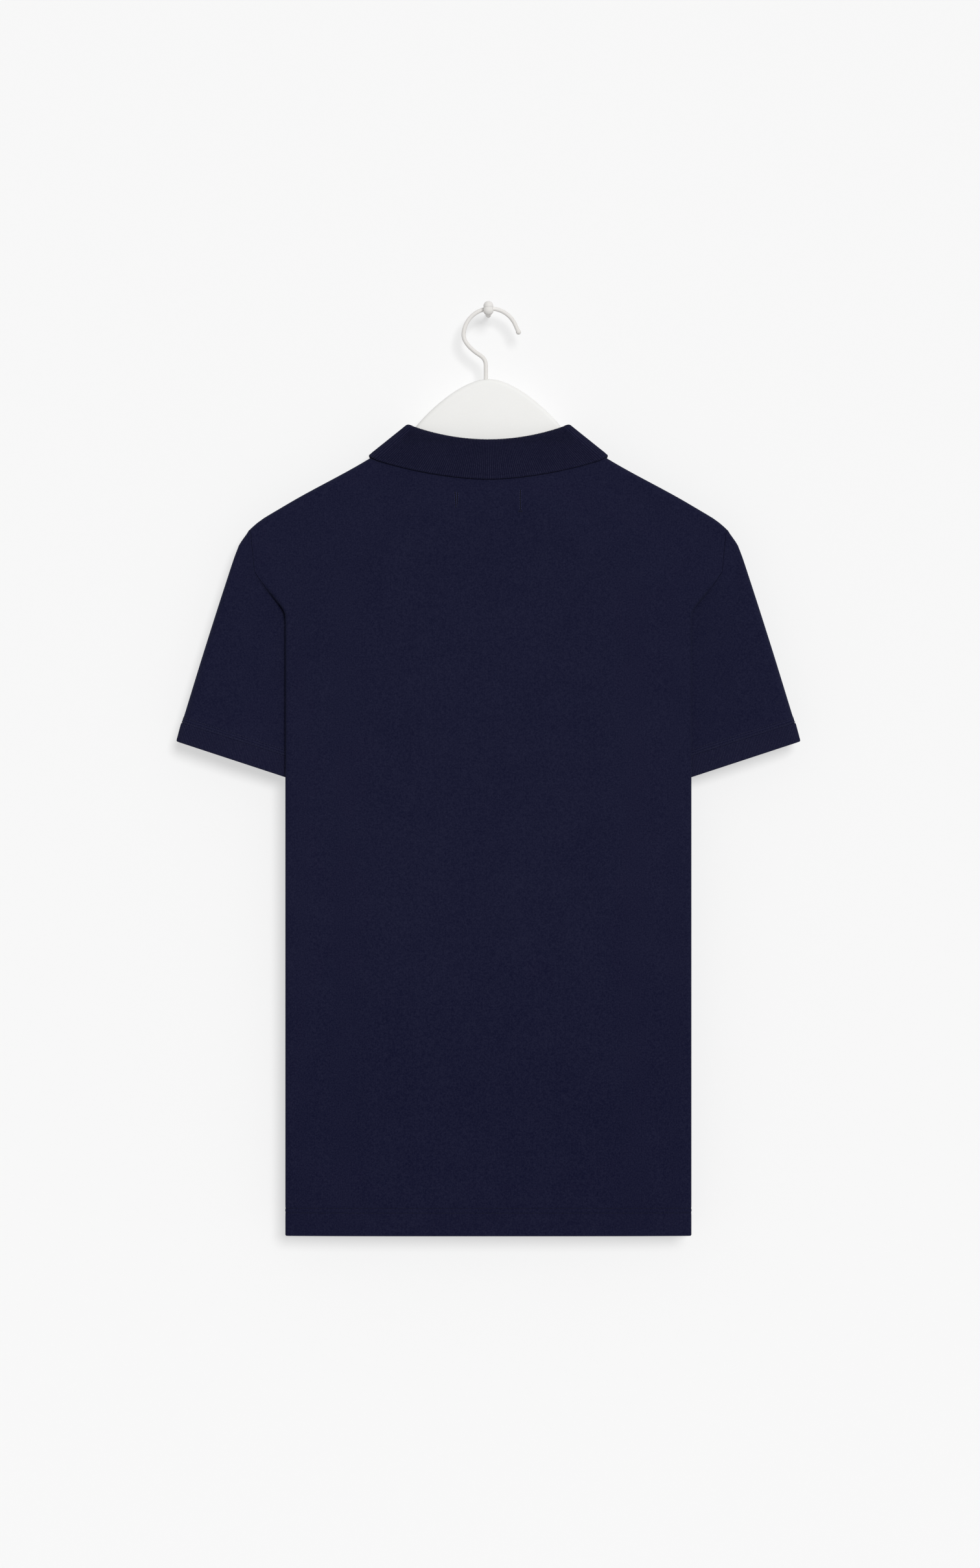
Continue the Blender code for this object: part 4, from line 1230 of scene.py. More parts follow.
@dataclass
class SleevePair:
    """Both short sleeves with their rib cuffs and two-needle cuff seams.

    The sleeve starts at the armhole, turns with the folded body edge, and settles into a flat
    tube over the share settled of its length.  It stands clear of the body over the share
    clear_over.  cuff_gap is how far sleeve and cuff each stay from the line where they meet.
    Over the seam allowance, allowance wide, the sleeve is thicker by allowance_rise, and its
    needles press it in by dent over about dent_width.
    Sizes are in millimetres; the left sleeve is the right one mirrored.
    """

    form: ShirtForm
    turn_radius: float = 1.6
    width: float = 165.0
    clear: float = 5.0
    clear_over: float = 0.17
    settled: float = 0.26
    cuff_gap: float = 0.06
    cuff_top: tuple[tuple[float, float], tuple[float, float]] = ((283.4, -377.0),
                                                                 (131.0, -425.0))
    cuff_hem: tuple[tuple[float, float], tuple[float, float]] = ((288.0, -394.2),
                                                                 (133.0, -445.2))
    outer_edge: tuple[tuple[float, float], ...] = (
        (-393.0, 288.0), (-319.4, 265.5), (-247.4, 243.1), (-223.4, 235.8), (-211.4, 231.6),
        (-199.8, 223.8))
    rib_pitch: float = 1.5
    rib_relief: float = 0.24
    needles: tuple[float, float] = (5.2, 1.6)
    allowance: float = 7.0
    allowance_rise: float = 0.35
    dent: float = 0.28
    dent_width: float = 0.6
    stitch: Stitch = Stitch(pitch=2.6, length=2.132, width=0.30, height=0.24)

    def half_depth(self, x: Array, from_edge: Array) -> Array:
        """Half depth of the tube: flatter inside the body's tuck, a circle at each edge.

        Args:
            x: Places across the shirt.
            from_edge: Distances from the nearer edge.

        Returns:
            Distances from the middle plane.
        """
        full = 5.3 + 2.6 * smooth((x - self.form.body_x - 4.0) / 50.0)
        near = np.clip(from_edge, 0.0, full)
        return np.sqrt(np.maximum(full ** 2 - (full - near) ** 2, 0.0))

    def placed(self, place: Array, share: Array, behind: Array) -> Array:
        """Points of the settled tube.

        Args:
            place: (x, z) points.
            share: How far each is from the outer edge to the inner one.
            behind: -1 for the back layer, 1 for the front one.

        Returns:
            The points in space.
        """
        from_edge = self.width * np.minimum(share, 0.4 * (1.0 - share))
        depth = self.half_depth(place[..., 0], from_edge)
        return np.stack([place[..., 0], self.form.mid_y + behind * depth, place[..., 1]],
                        axis=-1)

    def armhole(self, back: PanelGrid, front: PanelGrid) -> tuple[Array, Array, Array]:
        """The seam once round the right armhole, down the back and up the front.

        Args:
            back: The back panel's grid.
            front: The front panel's grid.

        Returns:
            Points, outward normals, and directions off the body's edge.
        """
        rows, sides = back.yoke_rows, []
        for panel in (back, front):
            points, outward = panel.points[:rows, -1], panel.normals[:rows, -1]
            away = unit(np.cross(outward, unit(np.gradient(points, axis=0))))
            away *= np.sign(np.sum(away * (points - panel.points[:rows, -2]), axis=1))[:, None]
            sides.append(np.stack([points, outward, away]))
        ends = (sides[0] + sides[1]) / 2
        ends[1:, :, 1] = 0.0
        ends[2, -1], ends[1, -1] = (0.0, 0.0, 2.0), (1.0, 0.0, 0.0)
        loop = np.concatenate([ends[:, :1], sides[0][:, 1:-1], ends[:, -1:],
                               sides[1][:, 1:-1][:, ::-1]], axis=1)
        return loop[0], unit(loop[1]), loop[2]

    def line(self, outer: Array, inner: Array, share: Array) -> Array:
        """Points on the straight line from the outer to the inner corner."""
        outer, inner = np.asarray(outer, float), np.asarray(inner, float)
        return outer + (inner - outer) * share[:, None]

    def sleeve_grid(self, back: PanelGrid, front: PanelGrid) -> tuple[Array, Array]:
        """Middle of the sleeve's wall and the armhole's normals.

        The first rows turn outward round a small arc by as much as the body's edge is folded.
        The rest are a Coons patch between the turned opening, the two edges and the cuff.

        Args:
            back: The back panel's grid.
            front: The front panel's grid.

        Returns:
            The grid, rows from the armhole to the cuff, and its first row's normals.
        """
        form = self.form
        seam, outward, away = self.armhole(back, front)
        yoke = BodyPanel(form, Side.BACK).heights()[0]
        turn = form.row_spans(form.shoulder_z + yoke * (form.underarm_z
                                                        - form.shoulder_z))["turn"]
        turns = np.concatenate([turn, turn[-2:0:-1]])
        last = len(yoke) - 1
        behind = np.where(np.arange(len(seam)) <= last, -1.0, 1.0)
        start = seam + away * (form.seam * (1 + 1.4 * np.minimum(turns, 1.0)))[:, None]
        grid = []
        for step in np.linspace(0.0, 4.0, 9):
            angle = (turns * step / 4)[:, None]
            spread = (0.5 * step * (1.0 - turns / math.pi))[:, None]
            grid.append(start + away * spread + self.turn_radius
                        * (away * np.sin(angle) + outward * (1.0 - np.cos(angle))))
        first = grid[-1]
        along = arc_length(first[:last + 1][:, [0, 2]])
        along = along / along[-1]
        share = np.concatenate([along, along[-2:0:-1]])
        heights, widths = np.array(self.outer_edge).T
        cuff_line = self.line(*self.cuff_top, share)
        opening, top_outer, top_inner = first[:, [0, 2]], first[0, [0, 2]], first[last, [0, 2]]
        low_outer, low_inner = cuff_line[0], cuff_line[last]
        first_depth = np.abs(first[:, 1] - form.mid_y)
        seam_from = np.array([0.965, 0.978, 0.988, 0.995])
        for down in np.concatenate([[.012, .025, .04, .055, .075, .1, .125, .15, .175, .2],
                                    np.linspace(.23, .95, 25), seam_from, [1.0]]):
            outer_z = top_outer[1] + (low_outer[1] - top_outer[1]) * down
            shift = (top_outer[0] - np.interp(top_outer[1], heights, widths)) * (1 - down) ** 4
            outer = np.array([np.interp(outer_z, heights, widths) + shift, outer_z])
            inner = top_inner * (1 - down) + low_inner * down
            inner[0] += self.clear * float(smooth(down / self.clear_over)) * (1.0 - down)
            corner = self.line(top_outer * (1 - down) + low_outer * down,
                               top_inner * (1 - down) + low_inner * down, share)
            place = (opening * (1 - down) + cuff_line * down + self.line(outer, inner, share)
                     - corner)
            settled = float(smooth(down / self.settled))
            tube = self.placed(place, share, behind)
            depth = first_depth * (1 - settled) + np.abs(tube[:, 1] - form.mid_y) * settled
            tube[:, 1] = form.mid_y + behind * depth
            grid.append(tube)
        gap = unit(self.line(*self.cuff_hem, share) - cuff_line) * self.cuff_gap
        grid[-1] = self.placed(cuff_line - gap, share, behind)
        return np.array(grid)[:, ::-1], outward[::-1]

    def loop(self, down: float) -> tuple[Array, Array]:
        """A dense closed line round the cuff, closer together at its two edges.

        Args:
            down: Share of the way from the cuff's seam to its hem.

        Returns:
            Its points, and -1 or 1 for each of them on the back or front layer.
        """
        u = np.linspace(0.0, 2.0, 1601)[:-1]
        share = 1.0 - np.abs(1.0 - u)
        spread = 0.5 - 0.5 * np.cos(math.pi * share)
        behind = np.where(u <= 1.0, -1.0, 1.0)
        top, hem = self.line(*self.cuff_top, spread), self.line(*self.cuff_hem, spread)
        gap = unit(hem - top) * self.cuff_gap
        return self.placed(top + gap + (hem - top - gap) * down, spread, behind), behind

    def cuff_wall(self) -> Wall:
        """The rib cuff: ridges run along the arm, four columns to a rib.

        Each rib moves the wall out and in by a cosine of its place round the cuff.  The first
        rows are a lip that lies under the sleeve's end, as the seam allowance does.

        Returns:
            The right cuff's wall.
        """
        form = self.form
        ring = self.loop(0.5)[0]
        girth = arc_length(np.concatenate([ring, ring[:1]]))
        ribs = int(round(girth[-1] / self.rib_pitch))
        at = np.interp(np.arange(4 * ribs) / (4 * ribs) * girth[-1], girth,
                       np.arange(len(ring) + 1))
        low = np.floor(at).astype(int) % len(ring)
        part = (at % 1.0)[:, None]
        depth = np.hypot(self.cuff_hem[0][0] - self.cuff_top[0][0],
                         self.cuff_hem[0][1] - self.cuff_top[0][1])
        downs = np.concatenate([[-0.09, -0.005, 0.0, 0.03, 0.07, 0.12], np.linspace(0.2, 0.86, 6),
                                [0.91, 0.95, 0.98, 0.993, 1.0]])
        rows = []
        for down in downs:
            line = self.loop(float(down))[0]
            rows.append(line[low] * (1 - part) + line[(low + 1) % len(line)] * part)
        points = np.array(rows)[:, ::-1]
        normals = grid_normals(points, past(points[0], points[1]), past(points[-1], points[-2]))
        wave = np.cos(math.pi / 2 * np.arange(4 * ribs))[None, ::-1]
        below, above = (1 - downs)[:, None] * depth, downs[:, None] * depth
        fade = smooth(below / 1.6) * (0.55 + 0.45 * smooth(above / 2.0))
        roll = edge_round(below, form.rib / 2) * np.maximum(edge_round(above, 0.5), 0.6)
        relief = self.rib_relief * wave * fade
        across = np.arange(4 * ribs)[None, ::-1] * self.rib_pitch / 4
        uv = np.stack(np.broadcast_arrays(across, -above), axis=-1) * MM
        lip = downs[:, None] < 0.0
        out = np.where(lip, -form.cloth / 2 - 0.08, form.rib / 2 * roll + relief)
        inward = np.where(lip, form.cloth / 2 + 0.35, form.rib / 2 * roll - relief)
        return Wall(points, normals, uv, out, inward, closed=True)

    def build(self, back: PanelGrid, front: PanelGrid, finishes: Finishes) -> None:
        """Make both sleeves, cuffs and their stitching.

        Args:
            back: The back panel's grid.
            front: The front panel's grid.
            finishes: The part's materials.
        """
        form = self.form
        grid, armhole_normals = self.sleeve_grid(back, front)
        normals = grid_normals(grid, past(grid[0], grid[1]), past(grid[-1], grid[-2]))
        normals[0] = armhole_normals
        above = np.linalg.norm(grid - grid[-1], axis=-1)
        presses = sum(bell(above - needle, self.dent_width) for needle in self.needles)
        rise = self.allowance_rise * smooth((self.allowance - above) / 2.0)
        out = form.cloth / 2 + rise - self.dent * presses + 0.1 * bell(above - 0.4, 0.9)
        steps = np.linalg.norm(np.roll(grid, -1, axis=1) - grid, axis=-1)
        round_way = np.concatenate([np.zeros((len(grid), 1)), np.cumsum(steps, axis=1)], axis=1)
        middle = round_way[:, -1:] / 2
        uv = np.stack([round_way[:, :-1] - middle, above], axis=-1) * MM
        lines = []
        for needle, shift in zip(self.needles, (0.0, self.stitch.pitch / 2)):
            line, outward = self.seam_line(grid, normals, out, above, needle)
            lines.append(self.stitch.run(line, outward, shift))
        run, cuff = gather(lines), self.cuff_wall()
        sleeve = Wall(grid, normals, uv, out, form.cloth / 2, closed=True)
        for name, tube, band, points, faces in (
                ("right", sleeve, cuff, *run),
                ("left", sleeve.mirrored(), cuff.mirrored(), flipped(run[0], 0),
                 run[1][:, ::-1])):
            piece = dress(tube.build(f"sleeve_{name}_cloth", finishes.jersey), "jersey",
                          f"sleeve_{name}")
            thread = dress(make_piece(f"sleeve_{name}_stitching", points, faces,
                                      finishes.thread), "jersey")
            ring = dress(band.build(f"cuff_{name}_rib", finishes.cuff), "rib", f"cuff_{name}")

    def seam_line(self, grid: Array, normals: Array, out: Array, above: Array,
                  needle: float) -> tuple[Array, Array]:
        """A line on the sleeve's outer skin, a chosen distance above the cuff seam.

        Each column is read between the two rows that the distance falls between.

        Args:
            grid: Middle of the sleeve's wall.
            normals: Its normals.
            out: Its outer half thickness.
            above: Distances of its points from the cuff seam.
            needle: The chosen distance.

        Returns:
            The closed line's points and its outward normals.
        """
        skin = grid + normals * (out[..., None] + THREAD_LIFT)
        low = np.argmax(above < needle, axis=0)
        column = np.arange(grid.shape[1])
        high = low - 1
        span = above[high, column] - above[low, column]
        part = ((needle - above[low, column]) / np.maximum(span, TINY))[:, None]
        line = skin[low, column] * (1 - part) + skin[high, column] * part
        outward = unit(normals[low, column] * (1 - part) + normals[high, column] * part)
        return np.concatenate([line, line[:1]]), np.concatenate([outward, outward[:1]])


# ---- collar


@dataclass
class Collar:
    """The folded collar: one flat-knitted rib piece with a plain knitted welt at its edge.

    In the welt the ribs are lower and the wall stands up by welt_rise; a groove parts it from
    the rest.  The outer skin rolls over at the edge with the radius edge_roll.
    """

    form: ShirtForm
    fold_x: float = 74.4
    back_fold_z: float = -116.6
    side_fold_z: float = -101.8
    front_fold_z: float = -194.0
    roll: float = 2.3
    back_lean: float = 3.5
    front_lean: float = 4.5
    back_edge_z: float = -152.6
    edge_x: float = 109.3
    end_x: float = 0.8
    point_z: float = -245.0
    shoulder_lift: float = 0.45
    front_lift: float = 1.6
    front_edge: tuple[tuple[float, float], ...] = ((0.0, 109.3), (0.34, 99.0), (0.7, 79.0),
                                                   (1.0, 58.0))
    rib_pitch: float = 1.72
    rib_relief: float = 0.28
    welt: float = 3.0
    welt_relief: float = 0.38
    welt_rise: float = 0.16
    groove: float = 0.22
    edge_roll: float = 2.4

    def edge_line(self, seam: Array, side: Side) -> Array:
        """Outer edge on the shirt, as (x, z), for points of the neck seam.

        Behind, its height rises to the shoulder by the 1.8th power of the distance out.  In
        front it runs down to the collar point by the seam's drop.

        Args:
            seam: Points of the neck seam.
            side: Back or front.

        Returns:
            Pairs of x and z.
        """
        form = self.form
        shoulder = float(form.ridge_height(np.array(self.edge_x)))
        if side is Side.BACK:
            share = np.minimum(seam[:, 0] / form.neck_x, 1.0)
            rise = shoulder - self.back_edge_z
            return np.stack([self.edge_x * share, self.back_edge_z + rise * share ** 1.8],
                            axis=1)
        drop = form.neck_z - seam[:, 2]
        share = np.clip(drop / form.front_neck_drop, 0.0, 1.0)
        further = shoulder - self.point_z - form.front_neck_drop
        places, widths = np.array(self.front_edge).T
        return np.stack([np.interp(share, places, widths),
                         shoulder - drop - further * share ** 1.5], axis=1)

    def fold_line(self, seam: Array, side: Side) -> Array:
        """Top of the fold above points of the neck seam.

        It leans out by the fourth root of one less the fourth power of the distance out.

        Args:
            seam: Points of the neck seam.
            side: Back or front.

        Returns:
            The points.
        """
        form = self.form
        share = np.minimum(seam[:, 0] / form.neck_x, 1.0)
        lean = self.back_lean if side is Side.BACK else self.front_lean
        depth = np.abs(seam[:, 1] - form.mid_y) + lean * np.maximum(1 - share ** 4, 0.0) ** .25
        if side is Side.BACK:
            height = self.back_fold_z + (self.side_fold_z - self.back_fold_z) * share ** 2
            across = self.fold_x * share
        else:
            height = self.side_fold_z - (self.side_fold_z - self.front_fold_z) * (1 - share ** 3)
            across = np.maximum(self.fold_x * share, self.end_x)
        return np.stack([across, form.mid_y + side.value * depth, height], axis=1)

    def half(self, x: Array, side: Side) -> tuple[Array, Array, Array]:
        """Lines of one half, for places along the neck seam.

        Args:
            x: Places across the shirt.
            side: Back or front.

        Returns:
            Points of the seam, the fold and the edge.
        """
        form = self.form
        z = form.neck_height(x, side)
        seam = np.stack([x, form.mid_y + side.value * form.shell_depth(x, z), z], axis=1)
        place = self.edge_line(seam, side)
        base = form.on_shell(place[:, 0], place[:, 1], side)
        near = 1.0 - smooth((form.ridge_height(place[:, 0]) - place[:, 1])
                            / (3 * form.ridge_radius))
        lift = self.shoulder_lift * near
        if side is Side.FRONT:
            lift = lift + self.front_lift * (1.0 - near)
        lift = lift + form.cloth / 2 + form.seam + form.rib / 2
        outward = form.shell_normal(place[:, 0], place[:, 1], float(side.value))
        return seam, self.fold_line(seam, side), base + outward * lift[:, None]

    def stations(self) -> tuple[Array, Array, Array, int]:
        """Seam, fold and edge lines with four stations to a rib, evenly spread.

        The spacing is even in the mean of the fold's and the edge's lengths, from the centre
        of the front round one shoulder to the centre of the back; the rest is its mirror.

        Returns:
            Points of the three lines, and the number of ribs in this half.
        """
        steps = 1.0 - (1.0 - np.linspace(0.0, 1.0, 700)) ** 1.8
        out = self.form.neck_x * steps
        front = self.half(np.maximum(out, self.end_x), Side.FRONT)
        back = self.half(out, Side.BACK)
        seam, fold, edge = (np.concatenate([f, b[-2::-1]]) for f, b in zip(front, back))
        shoulder = len(steps) - 1
        seam[shoulder, 1] = edge[shoulder, 1] = fold[shoulder, 1] = self.form.mid_y
        travelled = (arc_length(fold) + arc_length(edge)) / 2
        ribs = int(round(travelled[-1] / self.rib_pitch))
        at = np.linspace(0.0, travelled[-1], 4 * ribs + 1)
        read = [np.stack([np.interp(at, travelled, line[:, axis]) for axis in range(3)], axis=1)
                for line in (seam, fold, edge)]
        return read[0], read[1], read[2], ribs

    def section(self, seam: Array, fold: Array, edge: Array) -> tuple[Array, Array]:
        """Grid of the half collar: stand, roll and fall of every station.

        The stand and the fall are straight, and the roll between them is an arc about a centre
        under the fold line, from one's direction to the other's.

        Args:
            seam: Points of the neck seam.
            fold: Points of the fold.
            edge: Points of the outer edge.

        Returns:
            The grid, and each point's distance from the edge, which is far for stand and roll.
        """
        runs = unit(np.gradient(fold, axis=0))
        runs[-1] = (-1.0, 0.0, 0.0)
        outward = unit(np.stack([runs[:, 1], -runs[:, 0], 0 * runs[:, 0]], axis=1))
        outward *= np.where(np.sum(outward * (edge - seam), axis=1) < 0, -1.0, 1.0)[:, None]
        up = np.cross(outward, runs)
        up = unit(up * np.where(up[:, 2:] > 0, 1.0, -1.0))
        centre = fold - up * self.roll
        rise, fall = unit(fold - seam), unit(edge - fold)
        first = np.arctan2(np.sum(rise * outward, axis=1), np.sum(rise * up, axis=1))
        last = np.arctan2(np.sum(fall * outward, axis=1), np.sum(fall * up, axis=1))
        last = last % math.tau
        rows = []
        for share in np.linspace(0.0, 1.0, 10):
            angle = (first + (last - first) * share)[:, None]
            rows.append(centre + self.roll * (up * np.sin(angle) - outward * np.cos(angle)))
        base = seam + rise * self.form.seam * 1.5
        stand = [base + (rows[0] - base) * share for share in (0.0, 0.25, 0.5, 0.75)]
        length = np.linalg.norm(edge - rows[-1], axis=1)
        near = np.array([0.0, 0.12, 0.35, 0.7, 1.2, 2.0, 2.7, 3.1, 3.5, 4.4])
        leaf = [rows[-1] + (edge - rows[-1]) * share
                for share in np.linspace(0.0, 1.0, 12)[1:-2]]
        end = [edge - (edge - rows[-1]) * (np.minimum(step, length * 0.14) / length)[:, None]
               for step in near[::-1]]
        grid = np.array(stand + rows + leaf + end)
        below = np.linalg.norm(grid - grid[-1], axis=-1)
        below[:len(stand) + len(rows)] = 1e3
        return grid, below

    def build(self, finishes: Finishes) -> None:
        """Make the collar with its ribs in both skins and its welt.

        Args:
            finishes: The part's materials.
        """
        form = self.form
        seam, fold, edge, ribs = self.stations()
        half, below = self.section(seam, fold, edge)
        grid = np.concatenate([half, flipped(half[:, -2::-1], 0)], axis=1)
        below = np.concatenate([below, below[:, -2::-1]], axis=1)
        normals = grid_normals(grid, past(grid[0], grid[1]), past(grid[-1], grid[-2]),
                               past(grid[:, 0], grid[:, 1]), past(grid[:, -1], grid[:, -2]))
        wave = np.cos(math.pi / 2 * np.arange(grid.shape[1]))[None]
        in_welt = smooth((self.welt + 0.5 - below) / 0.9)
        relief = self.rib_relief * wave * (1.0 - (1.0 - self.welt_relief) * in_welt)
        raised = self.welt_rise * in_welt - self.groove * bell(below - self.welt, 0.5)
        out = (form.rib / 2 + raised + relief) * edge_round(below, self.edge_roll)
        inward = (form.rib / 2 - 0.5 * relief) * edge_round(below, form.rib / 2)
        lengths = np.concatenate([np.zeros((1, grid.shape[1])),
                                  np.cumsum(np.linalg.norm(np.diff(grid, axis=0), axis=-1),
                                            axis=0)])
        across = np.arange(grid.shape[1])[None] * self.rib_pitch / 4
        uv = np.stack(np.broadcast_arrays(across, lengths), axis=-1) * MM
        wall = Wall(grid[:, ::-1], -normals[:, ::-1], uv[:, ::-1], out[:, ::-1],
                    inward[:, ::-1])
        piece = dress(wall.build("collar_rib", finishes.rib), "rib", "collar")


# ---- placket, buttons and tacks


@dataclass
class Placket:
    """Two strips in the front slit, with edge stitching, buttonholes and two buttons.

    slot is half the width and height of a buttonhole's ring of stitches, and hole how far a
    button's holes lie from its middle, across and up.
    """

    form: ShirtForm
    upper_half: float = 16.0
    button_radius: float = 5.7
    button_thick: float = 2.4
    button_z: dict[str, float] = field(default_factory=lambda: {"button_upper": -234.0,
                                                                "button_lower": -296.0})
    slot: tuple[float, float] = (1.1, 7.2)
    hole: float = 1.1
    stitch_inset: float = 2.2
    stitch: Stitch = Stitch(pitch=2.4, length=1.92, width=0.26, height=0.22)
    slot_stitch: Stitch = Stitch(pitch=0.62, length=0.5, width=0.65, height=0.16)

    @property
    def button_y(self) -> float:
        """Depth of the buttons' backs, on the upper strip."""
        form = self.form
        return form.mid_y + (form.centre_depth + form.cloth * 1.5 + form.seam * 2)

    def strip(self, half: float, top: float, bottom: float, lift: float) -> Wall:
        """A flat strip with rolled edges.

        Args:
            half: Half its width.
            top: Height of its upper end.
            bottom: Height of its lower end.
            lift: How far it stands in front of the front panel's middle.

        Returns:
            The strip's wall.
        """
        form = self.form
        edge = np.array([0.0, 0.12, 0.3, 0.6, 1.1])
        x = np.concatenate([half - edge, np.linspace(half - 1.6, 1.6 - half, 13),
                            (edge - half)[::-1]])
        z = np.concatenate([top - edge, np.linspace(top - 1.6, bottom + 1.6, 40),
                            (bottom + edge)[::-1]])
        across, down = np.meshgrid(x, z)
        y = form.mid_y + form.shell_depth(across, down) + lift
        points = np.stack([across, y, down], axis=-1)
        normals = np.zeros_like(points)
        normals[..., 1] = 1.0
        near = np.minimum(half - np.abs(across), np.minimum(top - down, down - bottom))
        roll = form.cloth / 2 * edge_round(near, 0.8)
        press = 0.16 * bell(near - self.stitch_inset, 0.5)
        return Wall(points, normals, np.stack([across, down], axis=-1) * MM, roll - press,
                    roll)

    def sewn(self, stitch: Stitch, x: Array, z: Array, lift: float) -> tuple[Array, Array]:
        """Stitches along a line on the upper strip.

        Args:
            stitch: Their sizes.
            x: Places across the strip.
            z: Their heights.
            lift: How far the line stands in front of the lower strip's face.

        Returns:
            Vertices and faces of the stitches.
        """
        y = self.form.mid_y + self.form.shell_depth(x, z) + self.form.cloth * 1.5 + lift
        line = np.stack([x, y, z], axis=-1)
        return stitch.run(line, np.broadcast_to([0.0, 1.0, 0.0], line.shape))

    def buttonhole(self, height: float) -> tuple[Array, Array]:
        """Close stitches on an ellipse round a standing slot, for one buttonhole.

        Args:
            height: Height of its middle.

        Returns:
            Vertices and faces of the stitches.
        """
        turn = np.linspace(0.0, math.tau, 97)
        x, z = self.slot[0] * np.cos(turn), height + self.slot[1] * np.sin(turn)
        return self.sewn(self.slot_stitch, x, z, 0.32)

    def button(self, height: float) -> tuple[Array, Array]:
        """A turned button with a round rim and a shallow dish.

        Args:
            height: Height of its middle.

        Returns:
            Its vertices and faces.
        """
        profile = np.array([(.20, 0), (.66, 0), (.80, .04), (.92, .2), (.985, .42), (1, .6),
                            (.975, .8), (.92, .94), (.86, 1), (.79, .96), (.73, .84),
                            (.66, .74), (.52, .70), (.32, .69), (.12, .69)])
        points, faces = turned(profile * [self.button_radius, self.button_thick], 48)
        placed = np.stack([points[:, 0], self.button_y + points[:, 2], height + points[:, 1]],
                          axis=1)
        return placed, faces[:, ::-1]

    def holes(self, height: float) -> tuple[Array, Array]:
        """The rims of a button's four blind holes, and the cross of thread between them.

        Each thread is a bar on half a sine from hole to hole, and each arm of the cross is two.

        Args:
            height: Height of the button's middle.

        Returns:
            Vertices and faces of the whole.
        """
        base = self.button_y + self.button_thick * 0.70
        rim = np.array([(.42, -.2), (.62, -.2), (.66, .06), (.5, .12), (.42, .02)])
        corner = np.array([(-1, -1), (1, -1), (1, 1), (-1, 1)]) * self.hole
        parts = []
        for x, z in corner:
            ring, faces = turned(rim, 16)
            parts.append((np.stack([ring[:, 0] + x, base + ring[:, 2], height + z
                                    + ring[:, 1]], axis=1), faces[:, ::-1]))
        share = np.linspace(0, 1, 9)[:, None]
        for start, end in ((0, 2), (3, 1)):
            for shift in (-0.16, 0.16):
                ends = [np.array([x + shift, base, height + z]) for x, z in corner[[start, end]]]
                line = ends[0] * (1 - share) + ends[1] * share
                line[:, 1] += 0.45 * np.sin(math.pi * share[:, 0])
                parts.append(swept(line, np.full(9, 0.17), 8))
        return gather(parts)

    def build(self, finishes: Finishes) -> None:
        """Make both strips, their stitching and the buttons.

        Args:
            finishes: The part's materials.
        """
        form = self.form
        neck = form.neck_z - form.front_neck_drop
        top, bottom = neck - 2 * form.seam - form.rib / 2, form.slit_end_z - 4.0
        strips = {"placket_under": (form.slit_x - form.seam, neck - form.seam,
                                    form.slit_end_z + form.seam, 0.0),
                  "placket_upper": (self.upper_half, top, bottom, form.cloth + form.seam)}
        inner, foot = self.upper_half - self.stitch_inset, bottom + self.stitch_inset
        corner = np.array([(-inner, top - 1.0), (-inner, foot), (inner, foot),
                           (inner, top - 1.0)])
        away = arc_length(np.column_stack([corner, np.zeros(4)]))
        at = np.linspace(0.0, away[-1], 400)
        x, z = np.interp(at, away, corner[:, 0]), np.interp(at, away, corner[:, 1])
        run = [self.sewn(self.stitch, x, z, form.seam - 0.08)]
        run += [self.buttonhole(height) for height in self.button_z.values()]
        thread = dress(make_piece("placket_stitching", *gather(run), finishes.thread), "jersey")
        for node, size in strips.items():
            piece = dress(self.strip(*size).build(node + "_cloth", finishes.jersey), "jersey",
                          node)
        for node, height in self.button_z.items():
            dress(make_piece(node + "_turned", *self.button(height), finishes.button,
                             sharp=80.0), "button", node)
            dress(make_piece(node + "_thread", *self.holes(height), finishes.thread), "button")


@dataclass
class LabelTacks:
    """The short stitch lines that hold the neck label, as they show on the back's outside.

    Each is a line of near-black thread, painted shade that stands for a slit in the cloth, with a
    row of paler loops on either side.
    rows gives each row's step across and its lift over the skin, the dark line first.
    """

    form: ShirtForm
    rows: tuple[tuple[float, float], ...] = ((0.0, 0.14), (0.85, 0.08), (-0.75, 0.08))
    slit: Stitch = Stitch(pitch=1.0, length=0.98, width=0.42, height=0.12)
    loop: Stitch = Stitch(pitch=2.1, length=1.47, width=0.26, height=0.18)

    def build(self, finishes: Finishes) -> None:
        """Make two slightly bowed lines on the left, and one with a bar at its foot.

        Args:
            finishes: The part's materials.
        """
        runs = (((-30.8, -163.6), (-30.2, -171.0), (-29.9, -178.8)),
                ((-28.2, -164.5), (-28.6, -170.0), (-28.9, -176.2)),
                ((29.5, -161.8), (29.2, -171.0), (29.6, -181.0)),
                ((27.6, -181.9), (29.6, -182.0), (31.8, -181.8)))
        parts, slit_shade = [], []
        for points in runs:
            corner = np.array(points)
            share = np.linspace(0.0, 1.0, 60)
            x, z = (np.interp(share, np.linspace(0, 1, len(corner)), corner[:, axis])
                    for axis in (0, 1))
            normal = self.form.shell_normal(x, z, -1.0)
            lines = [self.form.on_shell(x + step, z, Side.BACK, self.form.cloth / 2 + lift)
                     for step, lift in self.rows]
            # The first line is painted slit shade, drawn as near-black thread.
            slit_shade.append(self.slit.run(lines[0], normal))
            parts += [self.loop.run(line, normal) for line in lines[1:]]
        dress(make_piece("label_tack_stitches", *gather(parts), finishes.tack_loop), "jersey")
        dress(make_piece("label_tack_slit_shade", *gather(slit_shade), finishes.tack_slit_shade), "jersey")


# ---- hanger and peg


